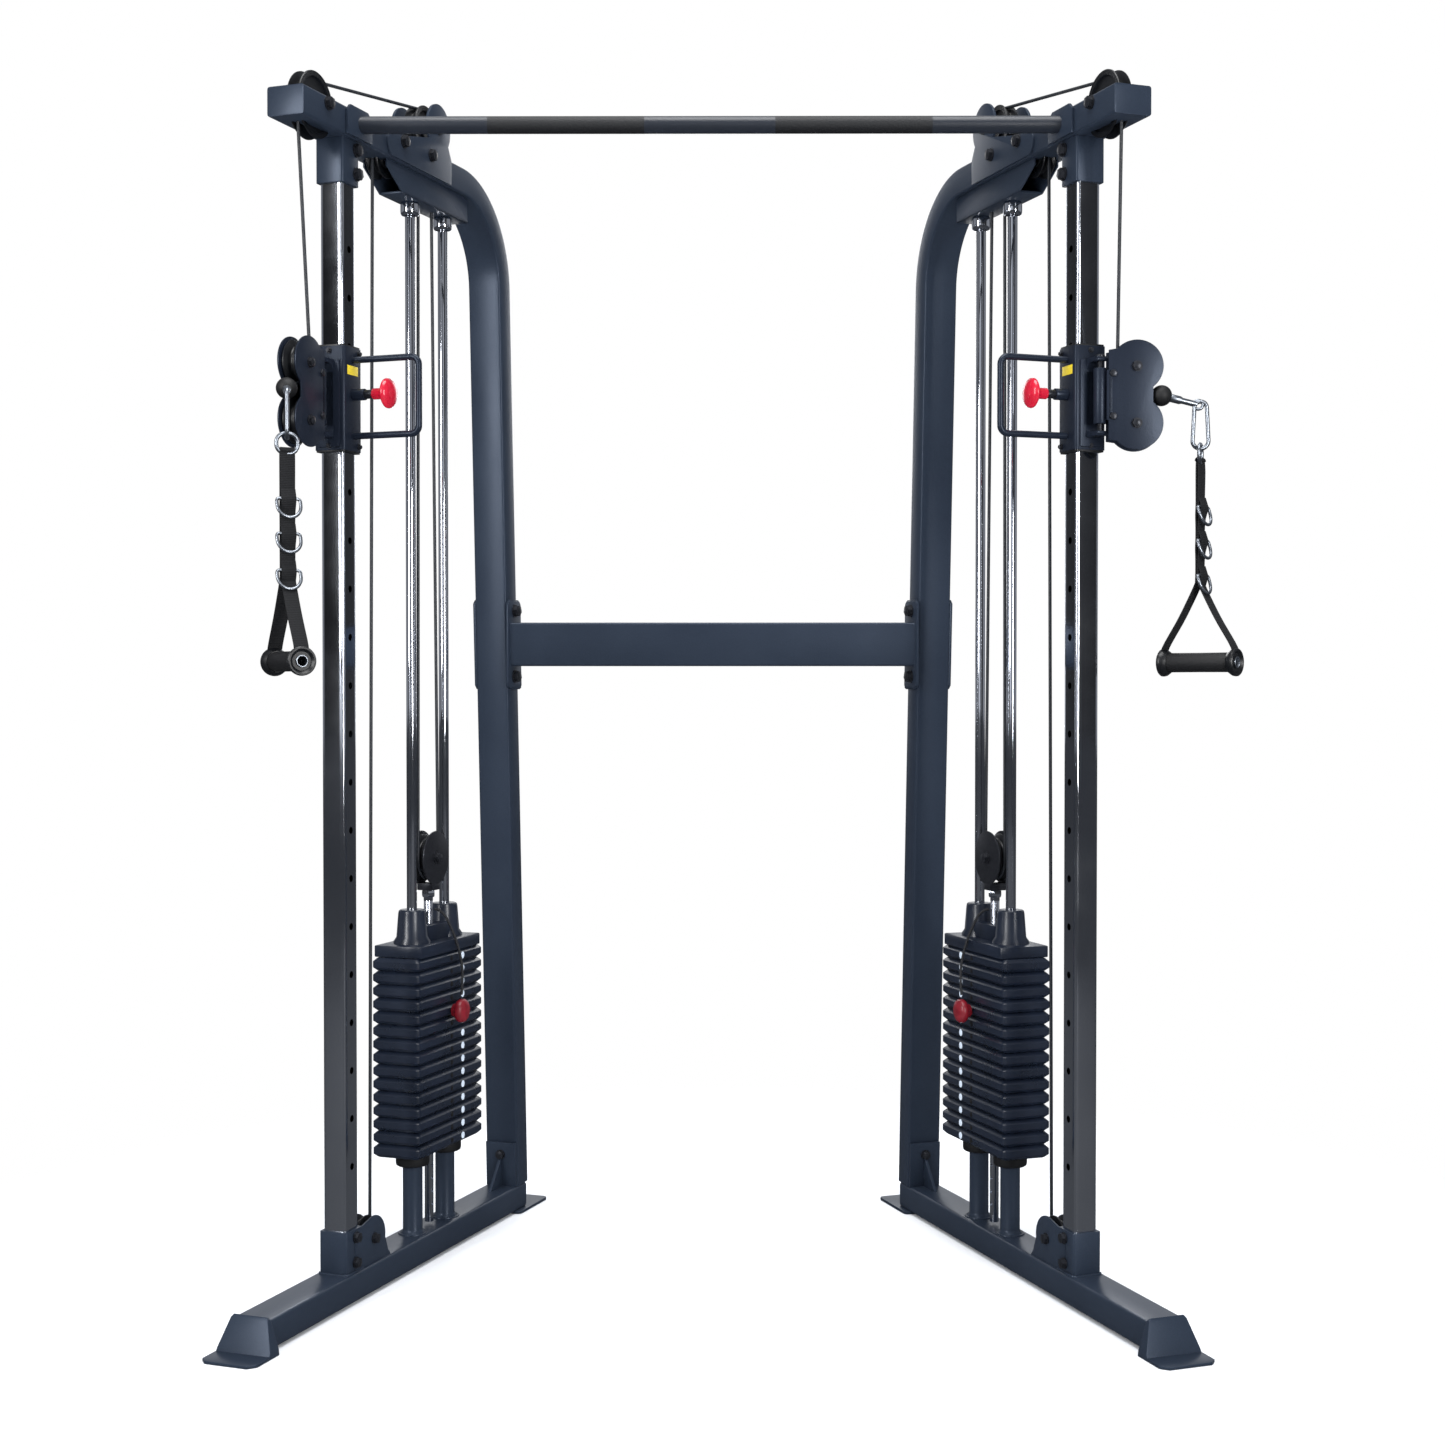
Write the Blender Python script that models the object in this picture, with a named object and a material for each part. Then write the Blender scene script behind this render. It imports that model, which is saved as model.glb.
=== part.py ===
"""Dual-stack cable crossover machine: two splayed side frames, each with a weight stack, a chromed mast with a
sliding carriage, and a cable that runs over eight pulleys to a hand grip, joined by a crossmember and a pull-up bar.

Each side is drawn in its frame's own coordinates: x points from the frame towards the middle of the machine,
y runs along the frame from its front foot to its rear, z is up. The right side is the left side mirrored.
"""

import math

import bmesh
import bpy
from mathutils import Matrix, Vector

# Overall form
FOOT_HALF_SPREAD = 0.7434  # middle of the machine to the front end of each base tube
SPLAY = math.radians(19.4)  # each frame opens outwards to the front by this angle
BASE_LENGTH = 0.972
ARM_TOP = 2.083
ARM_FRONT = 0.117  # along the frame, where the top arm ends
MAST_AT = 0.2845  # along the frame, middle of the mast
STACK_AT = 0.612  # along the frame, middle of the weight stack
CLEAR = 0.0003  # gap left between pieces that touch

# Rectangular frame tube and plates
TUBE_WIDE = 0.070
TUBE_DEEP = 0.050
TUBE_WALL = 0.0025
TUBE_CORNER = 0.004
FOOT_PLATE = 0.005
BASE_TOP = FOOT_PLATE + TUBE_DEEP
BEND_RADIUS = 0.180  # middle line of the bend from arm to upright
BEND_START = 0.700
UPRIGHT_LEAN = math.radians(2.4)

# Mast with selector holes
MAST_SIZE = 0.045
MAST_WALL = 0.0025
SOCKET_WALL = 0.005
SOCKET_TALL = 0.075
TOP_SOCKET_TALL = 0.078
HOLE_COUNT = 20
HOLE_PITCH = 0.0843
HOLE_LOWEST = 0.241
HOLE_DIAMETER = 0.013

# Cable and pulleys: (along the frame, height), outer radius, radius to the middle of the cable
CABLE_RADIUS = 0.003
GROOVE_CLEAR = 0.0008
LEAD = 0.003  # straight length at each end of a wrapped cable
PULLEY_WIDE = 0.024
AXLE_RADIUS = 0.006
FRONT_TOP = ((0.195, ARM_TOP - 0.0125), 0.0565, 0.042)
REAR_TOP = ((0.590, ARM_TOP + 0.0465), 0.0450, 0.039)
RETURN_REAR = ((0.549, ARM_TOP - 0.0440), 0.0360, 0.030)
RETURN_FRONT = ((0.437, ARM_TOP - 0.0440), 0.0360, 0.030)
BOTTOM = ((0.352, BASE_TOP + 0.043), 0.0390, 0.0335)
FLOATING_RADIUS = 0.045
FLOATING_ROPE = 0.040
LOBE_RADIUS = 0.045
BRACKET_PLATE = 0.004

# Weight stack
ROD_RADIUS = 0.0095
ROD_SPACING = 0.130
ROD_HOLDER_BOTTOM = 1.985
COLLAR_RADIUS = 0.018
COLLAR_TALL = 0.025
PEDESTAL_RADIUS = 0.0185
BUMPER_RADIUS = 0.0315
BUMPER_TALL = 0.024
STACK_BOTTOM = 0.2075
PLATE_COUNT = 15
PLATES_PICKED = 5
PLATE_PITCH = 0.0248
PLATE_LONG = 0.261
PLATE_WIDE = 0.099
PLATE_CHAMFER = 0.002
STEM_RADIUS = 0.0085
PIN_RADIUS = 0.0045
PIN_CLEAR = 0.0012
HEAD_TALL = 0.052
BOSS_TALL = 0.084
FLOATING_RISE = 0.1775  # top of the plates to the floating pulley's axle

# Carriage, swivel and handle
CARRIAGE_HOLE = 16  # counted from the lowest, from 0
SLEEVE_SIZE = 0.060
SLEEVE_TALL = 0.180
SLEEVE_DROP = 0.0075  # middle of the sleeve below the hole that its plunger is in
HINGE_AHEAD = 0.0625  # hinge axis ahead of the mast's middle
SWIVEL_REACH = 0.060  # hinge axis to the swivel pulleys' axles
SWIVEL_SPACING = 0.097
SWIVEL_RADIUS = 0.040
SWIVEL_ROPE = 0.031
SWIVEL_GAP = 0.030
SWIVEL_PLATE = 0.003
SWIVEL_TURN = {"left": 0.0, "right": math.radians(68)}
HANDLE_TWIST = {"left": math.radians(-32), "right": 0.0}
BALL_RADIUS = 0.018
BALL_REACH = 0.104
HANDLE_AHEAD = 0.0665  # ball to the line that the hand grip hangs on
GRIP_DROP = 0.4565
GRIP_LONG = 0.142
GRIP_RADIUS = 0.0165
GRIP_CAP_RADIUS = 0.024
GRIP_CAP_LONG = 0.012

# Between the frames
CROSS_MIDDLE = 1.168
CROSS_TALL = 0.088
CROSS_DEEP = 0.040
CROSS_AT = 0.835
CROSS_PLATE_TALL = 0.176
CROSS_PLATE = 0.005
BAR_RADIUS = 0.015
BAR_AT = 0.2725
BAR_HEIGHT = ARM_TOP - 0.022

ARM_BOTTOM = ARM_TOP - TUBE_DEEP
ARM_MIDDLE = ARM_TOP - TUBE_DEEP / 2
CARRIAGE_HEIGHT = HOLE_LOWEST + CARRIAGE_HOLE * HOLE_PITCH
SLEEVE_MIDDLE = CARRIAGE_HEIGHT - SLEEVE_DROP
HINGE_AT = MAST_AT - HINGE_AHEAD
PLATES_TOP = STACK_BOTTOM + PLATE_COUNT * PLATE_PITCH
SPLIT = PLATES_TOP - PLATES_PICKED * PLATE_PITCH
FLOATING = ((STACK_AT, PLATES_TOP + FLOATING_RISE), FLOATING_RADIUS, FLOATING_ROPE)
RODS_AT = (STACK_AT - ROD_SPACING / 2, STACK_AT + ROD_SPACING / 2)
PIN_HEIGHT = SPLIT + PLATE_PITCH / 2
MAST_TOP = ARM_BOTTOM - 0.003
LEAN_STEP = math.tan(UPRIGHT_LEAN)


# ---------------------------------------------------------------- shapes


def clear_scene():
    for obj in list(bpy.data.objects):
        bpy.data.objects.remove(obj, do_unlink=True)


def mesh_from(bm):
    bmesh.ops.recalc_face_normals(bm, faces=bm.faces)
    mesh = bpy.data.meshes.new("shape")
    bm.to_mesh(mesh)
    bm.free()
    return mesh


def loft(rings, closed=False):
    """A solid through rings of equal point counts; open ends are filled."""
    bm = bmesh.new()
    rows = [[bm.verts.new(p) for p in ring] for ring in rings]
    pairs = list(zip(rows, rows[1:])) + ([(rows[-1], rows[0])] if closed else [])
    for low, high in pairs:
        for i in range(len(low)):
            j = (i + 1) % len(low)
            bm.faces.new((low[i], low[j], high[j], high[i]))
    if not closed:
        bm.faces.new(rows[0])
        bm.faces.new(rows[-1])
    return mesh_from(bm)


def prism(outline, axis, low, high):
    """The outline, in the two other axes in order, extruded along axis from low to high."""

    def point(pair, along):
        values = list(pair)
        values.insert("xyz".index(axis), along)
        return values

    return loft([[point(p, low) for p in outline], [point(p, high) for p in outline]])


def box(x, y, z):
    return prism([(x[0], y[0]), (x[1], y[0]), (x[1], y[1]), (x[0], y[1])], "z", *z)


def rectangle(wide, tall, corner=0.0, middle=(0.0, 0.0), corner_steps=2):
    """Points of a rectangle, with rounded corners if a corner radius is given."""
    cx, cy = middle
    points = []
    for sx, sy, start in ((1, 1, 0), (-1, 1, 90), (-1, -1, 180), (1, -1, 270)):
        if corner == 0:
            points.append((cx + sx * wide / 2, cy + sy * tall / 2))
            continue
        for k in range(corner_steps):
            a = math.radians(start + 90 * k / (corner_steps - 1))
            x = cx + sx * (wide / 2 - corner) + corner * math.cos(a)
            points.append((x, cy + sy * (tall / 2 - corner) + corner * math.sin(a)))
    return points


def arc(centre, radius, start, end, steps):
    """Points on an arc, angles in degrees, both ends included."""
    angles = [math.radians(start + (end - start) * k / steps) for k in range(steps + 1)]
    return [(centre[0] + radius * math.cos(a), centre[1] + radius * math.sin(a)) for a in angles]


def rod(start, end, radius, end_radius=None, sides=12):
    """A round bar or cone between two points."""
    start, end = Vector(start), Vector(end)
    turn = (end - start).to_track_quat("Z", "Y").to_matrix()
    rings = []
    for middle, r in ((start, radius), (end, radius if end_radius is None else end_radius)):
        angles = [2 * math.pi * (k + 0.5) / sides for k in range(sides)]
        rings.append([middle + turn @ Vector((r * math.cos(a), r * math.sin(a), 0)) for a in angles])
    return loft(rings)


def sweep(path, radius, sides=8, closed=False):
    """A round bar along a path, its rings kept from twisting."""
    points = [Vector(p) for p in path]
    count = len(points)
    rings, normal = [], None
    for i, point in enumerate(points):
        before = points[i - 1] if closed or i else point
        after = points[(i + 1) % count] if closed or i < count - 1 else point
        along = (after - before).normalized()
        if normal is None:
            normal = along.orthogonal().normalized()
            if abs(along.x) < 0.01:
                normal = Vector((1, 0, 0))
        normal = (normal - normal.dot(along) * along).normalized()
        side = along.cross(normal)
        ring = []
        for k in range(sides):
            a = 2 * math.pi * (k + 0.5) / sides
            ring.append(point + radius * (math.cos(a) * normal + math.sin(a) * side))
        rings.append(ring)
    return loft(rings, closed)


def turned(profile, origin, axis, sides=20):
    """A solid of revolution: profile pairs of (radius, distance along axis), closed into a ring or onto the axis."""
    axis = Vector(axis)
    turn = axis.to_track_quat("Z", "Y").to_matrix()
    bm = bmesh.new()
    loops = []
    for r, d in profile:
        if r == 0:
            loops.append([bm.verts.new(Vector(origin) + axis * d)])
            continue
        ring = []
        for k in range(sides):
            a = 2 * math.pi * k / sides
            ring.append(bm.verts.new(Vector(origin) + turn @ Vector((r * math.cos(a), r * math.sin(a), d))))
        loops.append(ring)
    pairs = list(zip(loops, loops[1:]))
    if profile[0][0] > 0:
        pairs.append((loops[-1], loops[0]))
    for low, high in pairs:
        for i in range(sides):
            j = (i + 1) % sides
            corners = [low[i % len(low)], low[j % len(low)], high[j % len(high)], high[i % len(high)]]
            bm.faces.new(list(dict.fromkeys(corners)))
    return mesh_from(bm)


def helper(mesh):
    obj = bpy.data.objects.new("helper", mesh)
    bpy.context.scene.collection.objects.link(obj)
    obj.hide_render = True
    obj.display_type = "WIRE"
    return obj


def fuse(shapes, cuts=()):
    """One mesh from shapes joined together, with the cuts taken out of it."""
    body = helper(shapes[0])
    others = [(helper(s), "UNION") for s in shapes[1:]] + [(helper(c), "DIFFERENCE") for c in cuts]
    for other, operation in others:
        boolean = body.modifiers.new(operation, "BOOLEAN")
        boolean.operation = operation
        boolean.object = other
        boolean.solver = "EXACT"
    graph = bpy.context.evaluated_depsgraph_get()
    mesh = bpy.data.meshes.new_from_object(body.evaluated_get(graph))
    for obj in [body] + [other for other, _ in others]:
        bpy.data.objects.remove(obj, do_unlink=True)
    return mesh


def moved(mesh, matrix):
    mesh.transform(matrix)
    return mesh


# ---------------------------------------------------------------- materials and placing

PAINT = ("frame_paint", (0.065, 0.082, 0.108), 0.38, 0.3)
BLACK_STEEL = ("black_steel", (0.018, 0.019, 0.022), 0.45, 0.4)
CHROME = ("chrome", (0.62, 0.64, 0.67), 0.12, 1.0)
RED = ("red_plastic", (0.72, 0.012, 0.04), 0.25, 0.0)
NYLON = ("black_nylon", (0.014, 0.014, 0.016), 0.5, 0.0)
COATING = ("cable_coating", (0.012, 0.013, 0.015), 0.4, 0.0)
WEBBING = ("webbing", (0.010, 0.010, 0.012), 0.9, 0.0)
STACK_PAINT = ("stack_paint", (0.020, 0.023, 0.030), 0.5, 0.2)


def material(spec):
    name, color, roughness, metallic = spec
    found = bpy.data.materials.get(name)
    if found:
        return found
    made = bpy.data.materials.new(name)
    made.use_nodes = True
    shader = made.node_tree.nodes["Principled BSDF"]
    shader.inputs["Base Color"].default_value = (*color, 1)
    shader.inputs["Roughness"].default_value = roughness
    shader.inputs["Metallic"].default_value = metallic
    return made


def empty(name, location, parent=None, turn=0.0):
    obj = bpy.data.objects.new(name, None)
    bpy.context.scene.collection.objects.link(obj)
    obj.location = location
    obj.rotation_euler = (0, 0, turn)
    obj.parent = parent
    return obj


def place(name, mesh, spec, origin=(0, 0, 0), parent=None, smooth=True):
    """An object whose origin is a point of the mesh's own coordinates."""
    mesh.name = name
    mesh.transform(Matrix.Translation(-Vector(origin)))
    mesh.materials.clear()
    mesh.materials.append(material(spec))
    if smooth:
        mesh.shade_smooth()
        mesh.set_sharp_from_angle(angle=math.radians(35))
    obj = bpy.data.objects.new(name, mesh)
    bpy.context.scene.collection.objects.link(obj)
    obj.location = origin
    obj.parent = parent
    return obj


class Side:
    """One side of the machine. Shapes are given as on the left; on the right they are mirrored."""

    def __init__(self, name, machine):
        self.name = name
        self.sign = 1 if name == "left" else -1
        turn = -SPLAY * self.sign
        self.frame = empty(f"frame_{name}", (-FOOT_HALF_SPREAD * self.sign, 0, 0), machine, turn)

    def mirror(self, mesh):
        if self.sign < 0:
            mesh.transform(Matrix.Scale(-1, 4, (1, 0, 0)))
            mesh.flip_normals()
        return mesh

    def at(self, x, y, z):
        return (x * self.sign, y, z)

    def add(self, name, mesh, spec, origin=(0, 0, 0), parent=None):
        mesh = self.mirror(mesh)
        return place(f"{name}_{self.name}", mesh, spec, self.at(*origin), parent or self.frame)

    def pivot(self, name, origin, outward, parent=None):
        return empty(f"{name}_{self.name}", self.at(*origin), parent or self.frame, -outward * self.sign)


# ---------------------------------------------------------------- frame


def tube_along_y(y0, y1, z_middle, wall=0.0):
    wide, tall = TUBE_WIDE - 2 * wall, TUBE_DEEP - 2 * wall
    outline = rectangle(wide, tall, TUBE_CORNER - wall, (0, z_middle))
    return loft([[(x, y0, z) for x, z in outline], [(x, y1, z) for x, z in outline]])


def square_sleeve(size, wall, z0, z1, inner_gap=0.0):
    """(outer, bore) of a square sleeve round the mast."""
    outer = [(x, y) for x, y in rectangle(size, size, TUBE_CORNER, (0, MAST_AT))]
    inner = size - 2 * wall + 2 * inner_gap
    bore = rectangle(inner, inner, 0.002, (0, MAST_AT))
    return prism(outer, "z", z0, z1), prism(bore, "z", z0 - 0.01, z1 + 0.01)


def front_foot():
    """A bent plate: a sloping face that covers the tube's end and a lip on the floor."""
    lip_front, bend, lip_half, top_half = -0.075, -0.024, 0.051, 0.033
    lip = prism(
        [(-lip_half, bend), (-lip_half, lip_front + 0.012), (-lip_half + 0.012, lip_front),
         (lip_half - 0.012, lip_front), (lip_half, lip_front + 0.012), (lip_half, bend)],
        "z", 0, FOOT_PLATE,
    )
    face = loft([
        [(-lip_half, bend - 0.001, 0), (lip_half, bend - 0.001, 0), (lip_half, 0.004, 0), (-lip_half, 0.004, 0)],
        [(-lip_half, bend, 0.012), (lip_half, bend, 0.012), (lip_half, 0.004, 0.012), (-lip_half, 0.004, 0.012)],
        [(-top_half, -0.006, BASE_TOP + 0.004), (top_half, -0.006, BASE_TOP + 0.004),
         (top_half, 0.004, BASE_TOP + 0.004), (-top_half, 0.004, BASE_TOP + 0.004)],
    ])
    hole = rod((0, lip_front / 2 + bend / 2, -0.01), (0, lip_front / 2 + bend / 2, 0.01), 0.0055, sides=10)
    return [lip, face], [hole]


def upright_middle(z):
    """Where the upright's middle line is along the frame at a height."""
    bend_end = bend_point(90 - math.degrees(UPRIGHT_LEAN))
    return bend_end[0] + (bend_end[1] - z) * LEAN_STEP


def bend_point(angle, offset=0.0):
    """A point on the bend, angle in degrees from its start; offset is towards the outside."""
    a = math.radians(90 - angle)
    radius = BEND_RADIUS + offset
    return BEND_START + radius * math.cos(a), ARM_MIDDLE - BEND_RADIUS + radius * math.sin(a)


def base_frame(side):
    length = BASE_LENGTH
    tube = tube_along_y(0, length, FOOT_PLATE + TUBE_DEEP / 2)
    bore = tube_along_y(TUBE_WALL, length + 0.02, FOOT_PLATE + TUBE_DEEP / 2, TUBE_WALL)
    foot, foot_cuts = front_foot()
    rear = prism(rectangle(0.090, 0.134, 0.008, (0, length + 0.018)), "z", 0, FOOT_PLATE + 0.001)
    socket, socket_bore = square_sleeve(
        MAST_SIZE + 2 * SOCKET_WALL, SOCKET_WALL, BASE_TOP - 0.001, BASE_TOP + SOCKET_TALL, CLEAR)
    socket_bore = prism(rectangle(MAST_SIZE + 2 * CLEAR, MAST_SIZE + 2 * CLEAR, 0.002, (0, MAST_AT)),
                        "z", BASE_TOP + 0.0025, BASE_TOP + SOCKET_TALL + 0.01)
    shapes = [tube, rear, socket] + foot
    cuts = [bore, socket_bore] + foot_cuts
    # Pedestals that carry the stack, each with its rubber bumper and a seat for the guide rod
    pedestal_top = STACK_BOTTOM - CLEAR - BUMPER_TALL
    for at in RODS_AT:
        shapes.append(rod((0, at, BASE_TOP - 0.002), (0, at, pedestal_top + 0.002), PEDESTAL_RADIUS, sides=14))
        shapes.append(rod((0, at, BASE_TOP - 0.001), (0, at, BASE_TOP + 0.008), PEDESTAL_RADIUS + 0.005,
                          PEDESTAL_RADIUS + 0.001, sides=14))
        shapes.append(rod((0, at, pedestal_top), (0, at, STACK_BOTTOM - CLEAR), BUMPER_RADIUS, sides=16))
        cuts.append(rod((0, at, pedestal_top - 0.03), (0, at, STACK_BOTTOM + 0.01), ROD_RADIUS + CLEAR))
    # Bottom pulley bracket: two plates from the socket, standing on the base
    (at, height), radius, _ = BOTTOM
    plate_out = MAST_SIZE / 2 + SOCKET_WALL + 0.001
    outline = [(MAST_AT, BASE_TOP - 0.001), (at + 0.060, BASE_TOP - 0.001), (at + 0.050, BASE_TOP + 0.010)]
    outline += arc((at, height), radius + 0.001, -10, 100, 7) + [(MAST_AT, BASE_TOP + SOCKET_TALL - 0.006)]
    for sign in (-1, 1):
        low, high = sorted((sign * (plate_out - BRACKET_PLATE), sign * plate_out))
        shapes.append(prism(outline, "x", low, high))
    shapes.append(rod((-plate_out + 0.001, at, height), (plate_out - 0.001, at, height), AXLE_RADIUS))
    # Foot of the upright: a plate up its front face with a gusset
    front = upright_middle(BASE_TOP) - TUBE_DEEP / 2 - CLEAR
    top_front = upright_middle(BASE_TOP + 0.09) - TUBE_DEEP / 2 - CLEAR
    plate = prism([(front - 0.006, BASE_TOP - 0.001), (front, BASE_TOP - 0.001),
                   (top_front, BASE_TOP + 0.09), (top_front - 0.006, BASE_TOP + 0.09)], "x", -0.033, 0.033)
    gusset = prism([(front - 0.060, BASE_TOP - 0.001), (front - 0.003, BASE_TOP - 0.001),
                    (top_front - 0.003, BASE_TOP + 0.065)], "x", -0.003, 0.003)
    shapes += [plate, gusset]
    side.add("base_frame", fuse(shapes, cuts), PAINT)


def mast(side):
    z0 = BASE_TOP + 0.0028
    outer = prism(rectangle(MAST_SIZE, MAST_SIZE, TUBE_CORNER, (0, MAST_AT)), "z", z0, MAST_TOP)
    inner_size = MAST_SIZE - 2 * MAST_WALL
    bore = prism(rectangle(inner_size, inner_size, 0.002, (0, MAST_AT)), "z", z0 - 0.01, MAST_TOP + 0.01)
    holes = []
    for k in range(HOLE_COUNT):
        z = HOLE_LOWEST + k * HOLE_PITCH
        holes.append(rod((MAST_SIZE / 2 - 0.01, MAST_AT, z), (MAST_SIZE / 2 + 0.01, MAST_AT, z),
                         HOLE_DIAMETER / 2, sides=8))
    side.add("mast", fuse([outer], [bore] + holes), CHROME, (0, MAST_AT, z0))


def bent_tube(wall, start, z_end):
    """The arm and upright as one bent tube; with a wall given, the space inside it."""
    outline = rectangle(TUBE_WIDE - 2 * wall, TUBE_DEEP - 2 * wall, TUBE_CORNER - wall)
    lean = math.degrees(UPRIGHT_LEAN)
    rings = [[(x, start, ARM_MIDDLE + r) for x, r in outline]]
    steps = 7
    for k in range(steps + 1):
        angle = (90 - lean) * k / steps
        rings.append([(x, *bend_point(angle, r)) for x, r in outline])
    foot = upright_middle(z_end)
    rings.append([(x, foot + r / math.cos(UPRIGHT_LEAN), z_end) for x, r in outline])
    return loft(rings)


def upright_arm(side):
    shapes = [bent_tube(0, ARM_FRONT, BASE_TOP + CLEAR)]
    cuts = [bent_tube(TUBE_WALL, ARM_FRONT + TUBE_WALL, BASE_TOP - 0.02)]
    # Slots for the front top pulley, the return pulleys and the cable that drops to the stack
    half_slot = PULLEY_WIDE / 2 + 0.0025
    (at, _), radius, _ = FRONT_TOP
    cuts.append(box((-half_slot, half_slot), (at - radius - 0.004, at + radius + 0.004), (1.9, 2.2)))
    low = RETURN_FRONT[0][0] - RETURN_FRONT[1] - 0.006
    rear_cable = REAR_TOP[0][0] + REAR_TOP[2]
    cuts.append(box((-half_slot, half_slot), (low, rear_cable + 0.012), (1.9, ARM_MIDDLE)))
    cuts.append(box((-0.008, 0.008), (rear_cable - 0.010, rear_cable + 0.012), (ARM_MIDDLE, 2.2)))
    # End cap and the socket that holds the mast's top
    shapes.append(box((-TUBE_WIDE / 2 - 0.001, TUBE_WIDE / 2 + 0.001), (ARM_FRONT - 0.004, ARM_FRONT + 0.001),
                      (ARM_BOTTOM - 0.001, ARM_TOP + 0.001)))
    socket_low = ARM_BOTTOM - TOP_SOCKET_TALL
    socket_size = MAST_SIZE + 2 * SOCKET_WALL
    shapes.append(prism(rectangle(socket_size, socket_size, TUBE_CORNER, (0, MAST_AT)),
                        "z", socket_low, ARM_BOTTOM + 0.001))
    cuts.append(prism(rectangle(MAST_SIZE + 2 * CLEAR, MAST_SIZE + 2 * CLEAR, 0.002, (0, MAST_AT)),
                      "z", socket_low - 0.01, MAST_TOP + 0.0006))
    # Guide-rod holder: a bent plate under the arm
    plate_half = 0.0245
    holder = [(0.443, ARM_BOTTOM + 0.001), (0.443, ARM_BOTTOM - 0.020), (0.475, ROD_HOLDER_BOTTOM),
              (0.735, ROD_HOLDER_BOTTOM), (0.735, ARM_BOTTOM + 0.001)]
    for low, high in ((-plate_half, -plate_half + 0.003), (plate_half - 0.003, plate_half)):
        shapes.append(prism(holder, "x", low, high))
    shapes.append(box((-plate_half, plate_half), (0.475, 0.735), (ROD_HOLDER_BOTTOM, ROD_HOLDER_BOTTOM + 0.004)))
    for at in RODS_AT:
        shapes.append(rod((0, at, ROD_HOLDER_BOTTOM + 0.002), (0, at, ROD_HOLDER_BOTTOM - COLLAR_TALL),
                          COLLAR_RADIUS, sides=16))
        cuts.append(rod((0, at, ROD_HOLDER_BOTTOM - COLLAR_TALL - 0.01), (0, at, ROD_HOLDER_BOTTOM),
                        ROD_RADIUS + CLEAR))
    for at in (RETURN_REAR[0][0] + RETURN_REAR[2], rear_cable + 0.003):
        cuts.append(box((-0.008, 0.008), (at - 0.009, at + 0.009), (ROD_HOLDER_BOTTOM - 0.01, ARM_BOTTOM - 0.01)))
    # Rear top pulley bracket: a plate on each side of the arm with a round lobe above it
    (at, height), _, _ = REAR_TOP
    outline = [(0.392, ARM_BOTTOM + 0.004), (0.640, ARM_BOTTOM + 0.004), (0.640, ARM_TOP - 0.004)]
    outline += arc((at, height), LOBE_RADIUS, -35, 215, 12) + [(0.440, ARM_TOP + 0.004), (0.392, ARM_TOP - 0.020)]
    for sign in (-1, 1):
        edges = sorted((sign * (TUBE_WIDE / 2 - 0.001), sign * (TUBE_WIDE / 2 + BRACKET_PLATE)))
        shapes.append(prism(outline, "x", *edges))
    reach = TUBE_WIDE / 2 + 0.002
    shapes.append(rod((-reach, at, height), (reach, at, height), AXLE_RADIUS))
    # Axles of the pulleys inside the arm
    for pulley in (FRONT_TOP, RETURN_REAR, RETURN_FRONT):
        (at, height), _, _ = pulley
        reach = TUBE_WIDE / 2 - 0.001
        axle = rod((-reach, at, height), (reach, at, height), AXLE_RADIUS)
        shapes.append(axle)
    # Clamp round the upright that the crossmember bolts to
    half = CROSS_PLATE_TALL / 2 + 0.003
    low_mid, high_mid = upright_middle(CROSS_MIDDLE - half), upright_middle(CROSS_MIDDLE + half)
    back, front = TUBE_DEEP / 2 - 0.012, TUBE_DEEP / 2 + 0.005
    clamp_half = TUBE_WIDE / 2 + 0.005
    clamp = prism([(low_mid - front, CROSS_MIDDLE - half), (low_mid + back, CROSS_MIDDLE - half),
                   (high_mid + back, CROSS_MIDDLE + half), (high_mid - front, CROSS_MIDDLE + half)],
                  "x", -clamp_half, clamp_half)
    body = fuse(shapes[:1] + shapes[1:8] + [clamp], cuts)
    axles_and_plates = shapes[8:]
    side.add("upright_arm", fuse([body] + axles_and_plates), PAINT)


def pulley_mesh(pulley, x_middle=0.0, wide=PULLEY_WIDE, bore=AXLE_RADIUS + CLEAR, sides=16):
    (at, height), radius, rope = pulley
    groove = rope - CABLE_RADIUS - GROOVE_CLEAR
    half = wide / 2
    floor = 0.0035
    profile = [(bore, -half), (radius, -half), (radius, -half + 0.003), (groove, -floor), (groove, floor),
               (radius, half - 0.003), (radius, half), (bore, half)]
    return turned(profile, (x_middle, at, height), (1, 0, 0), sides)


def fixed_pulleys(side):
    named = (("front_top_pulley", FRONT_TOP), ("rear_top_pulley", REAR_TOP), ("bottom_pulley", BOTTOM),
             ("return_pulley_rear", RETURN_REAR), ("return_pulley_front", RETURN_FRONT))
    for name, pulley in named:
        side.add(name, pulley_mesh(pulley), NYLON, (0, *pulley[0]))


# ---------------------------------------------------------------- weight stack


def plate_block(z0, count, cuts):
    """Weight plates lying on each other, each with chamfered edges, joined where they touch."""
    rings = []
    for k in range(count):
        low = z0 + k * PLATE_PITCH
        high = low + PLATE_PITCH - (CLEAR if k == count - 1 else 0)
        for z, inset in ((low, PLATE_CHAMFER), (low + PLATE_CHAMFER, 0), (high - PLATE_CHAMFER, 0),
                         (high, PLATE_CHAMFER)):
            if k and z == low:
                continue
            outline = rectangle(PLATE_WIDE - 2 * inset, PLATE_LONG - 2 * inset, 0.006, (0, STACK_AT))
            rings.append([(x, y, z) for x, y in outline])
    for k in range(count):
        z = z0 + (k + 0.5) * PLATE_PITCH
        cuts.append(rod((0, STACK_AT, z), (PLATE_WIDE, STACK_AT, z), PIN_RADIUS + PIN_CLEAR, sides=6))
    return fuse([loft(rings)], cuts)


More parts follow.
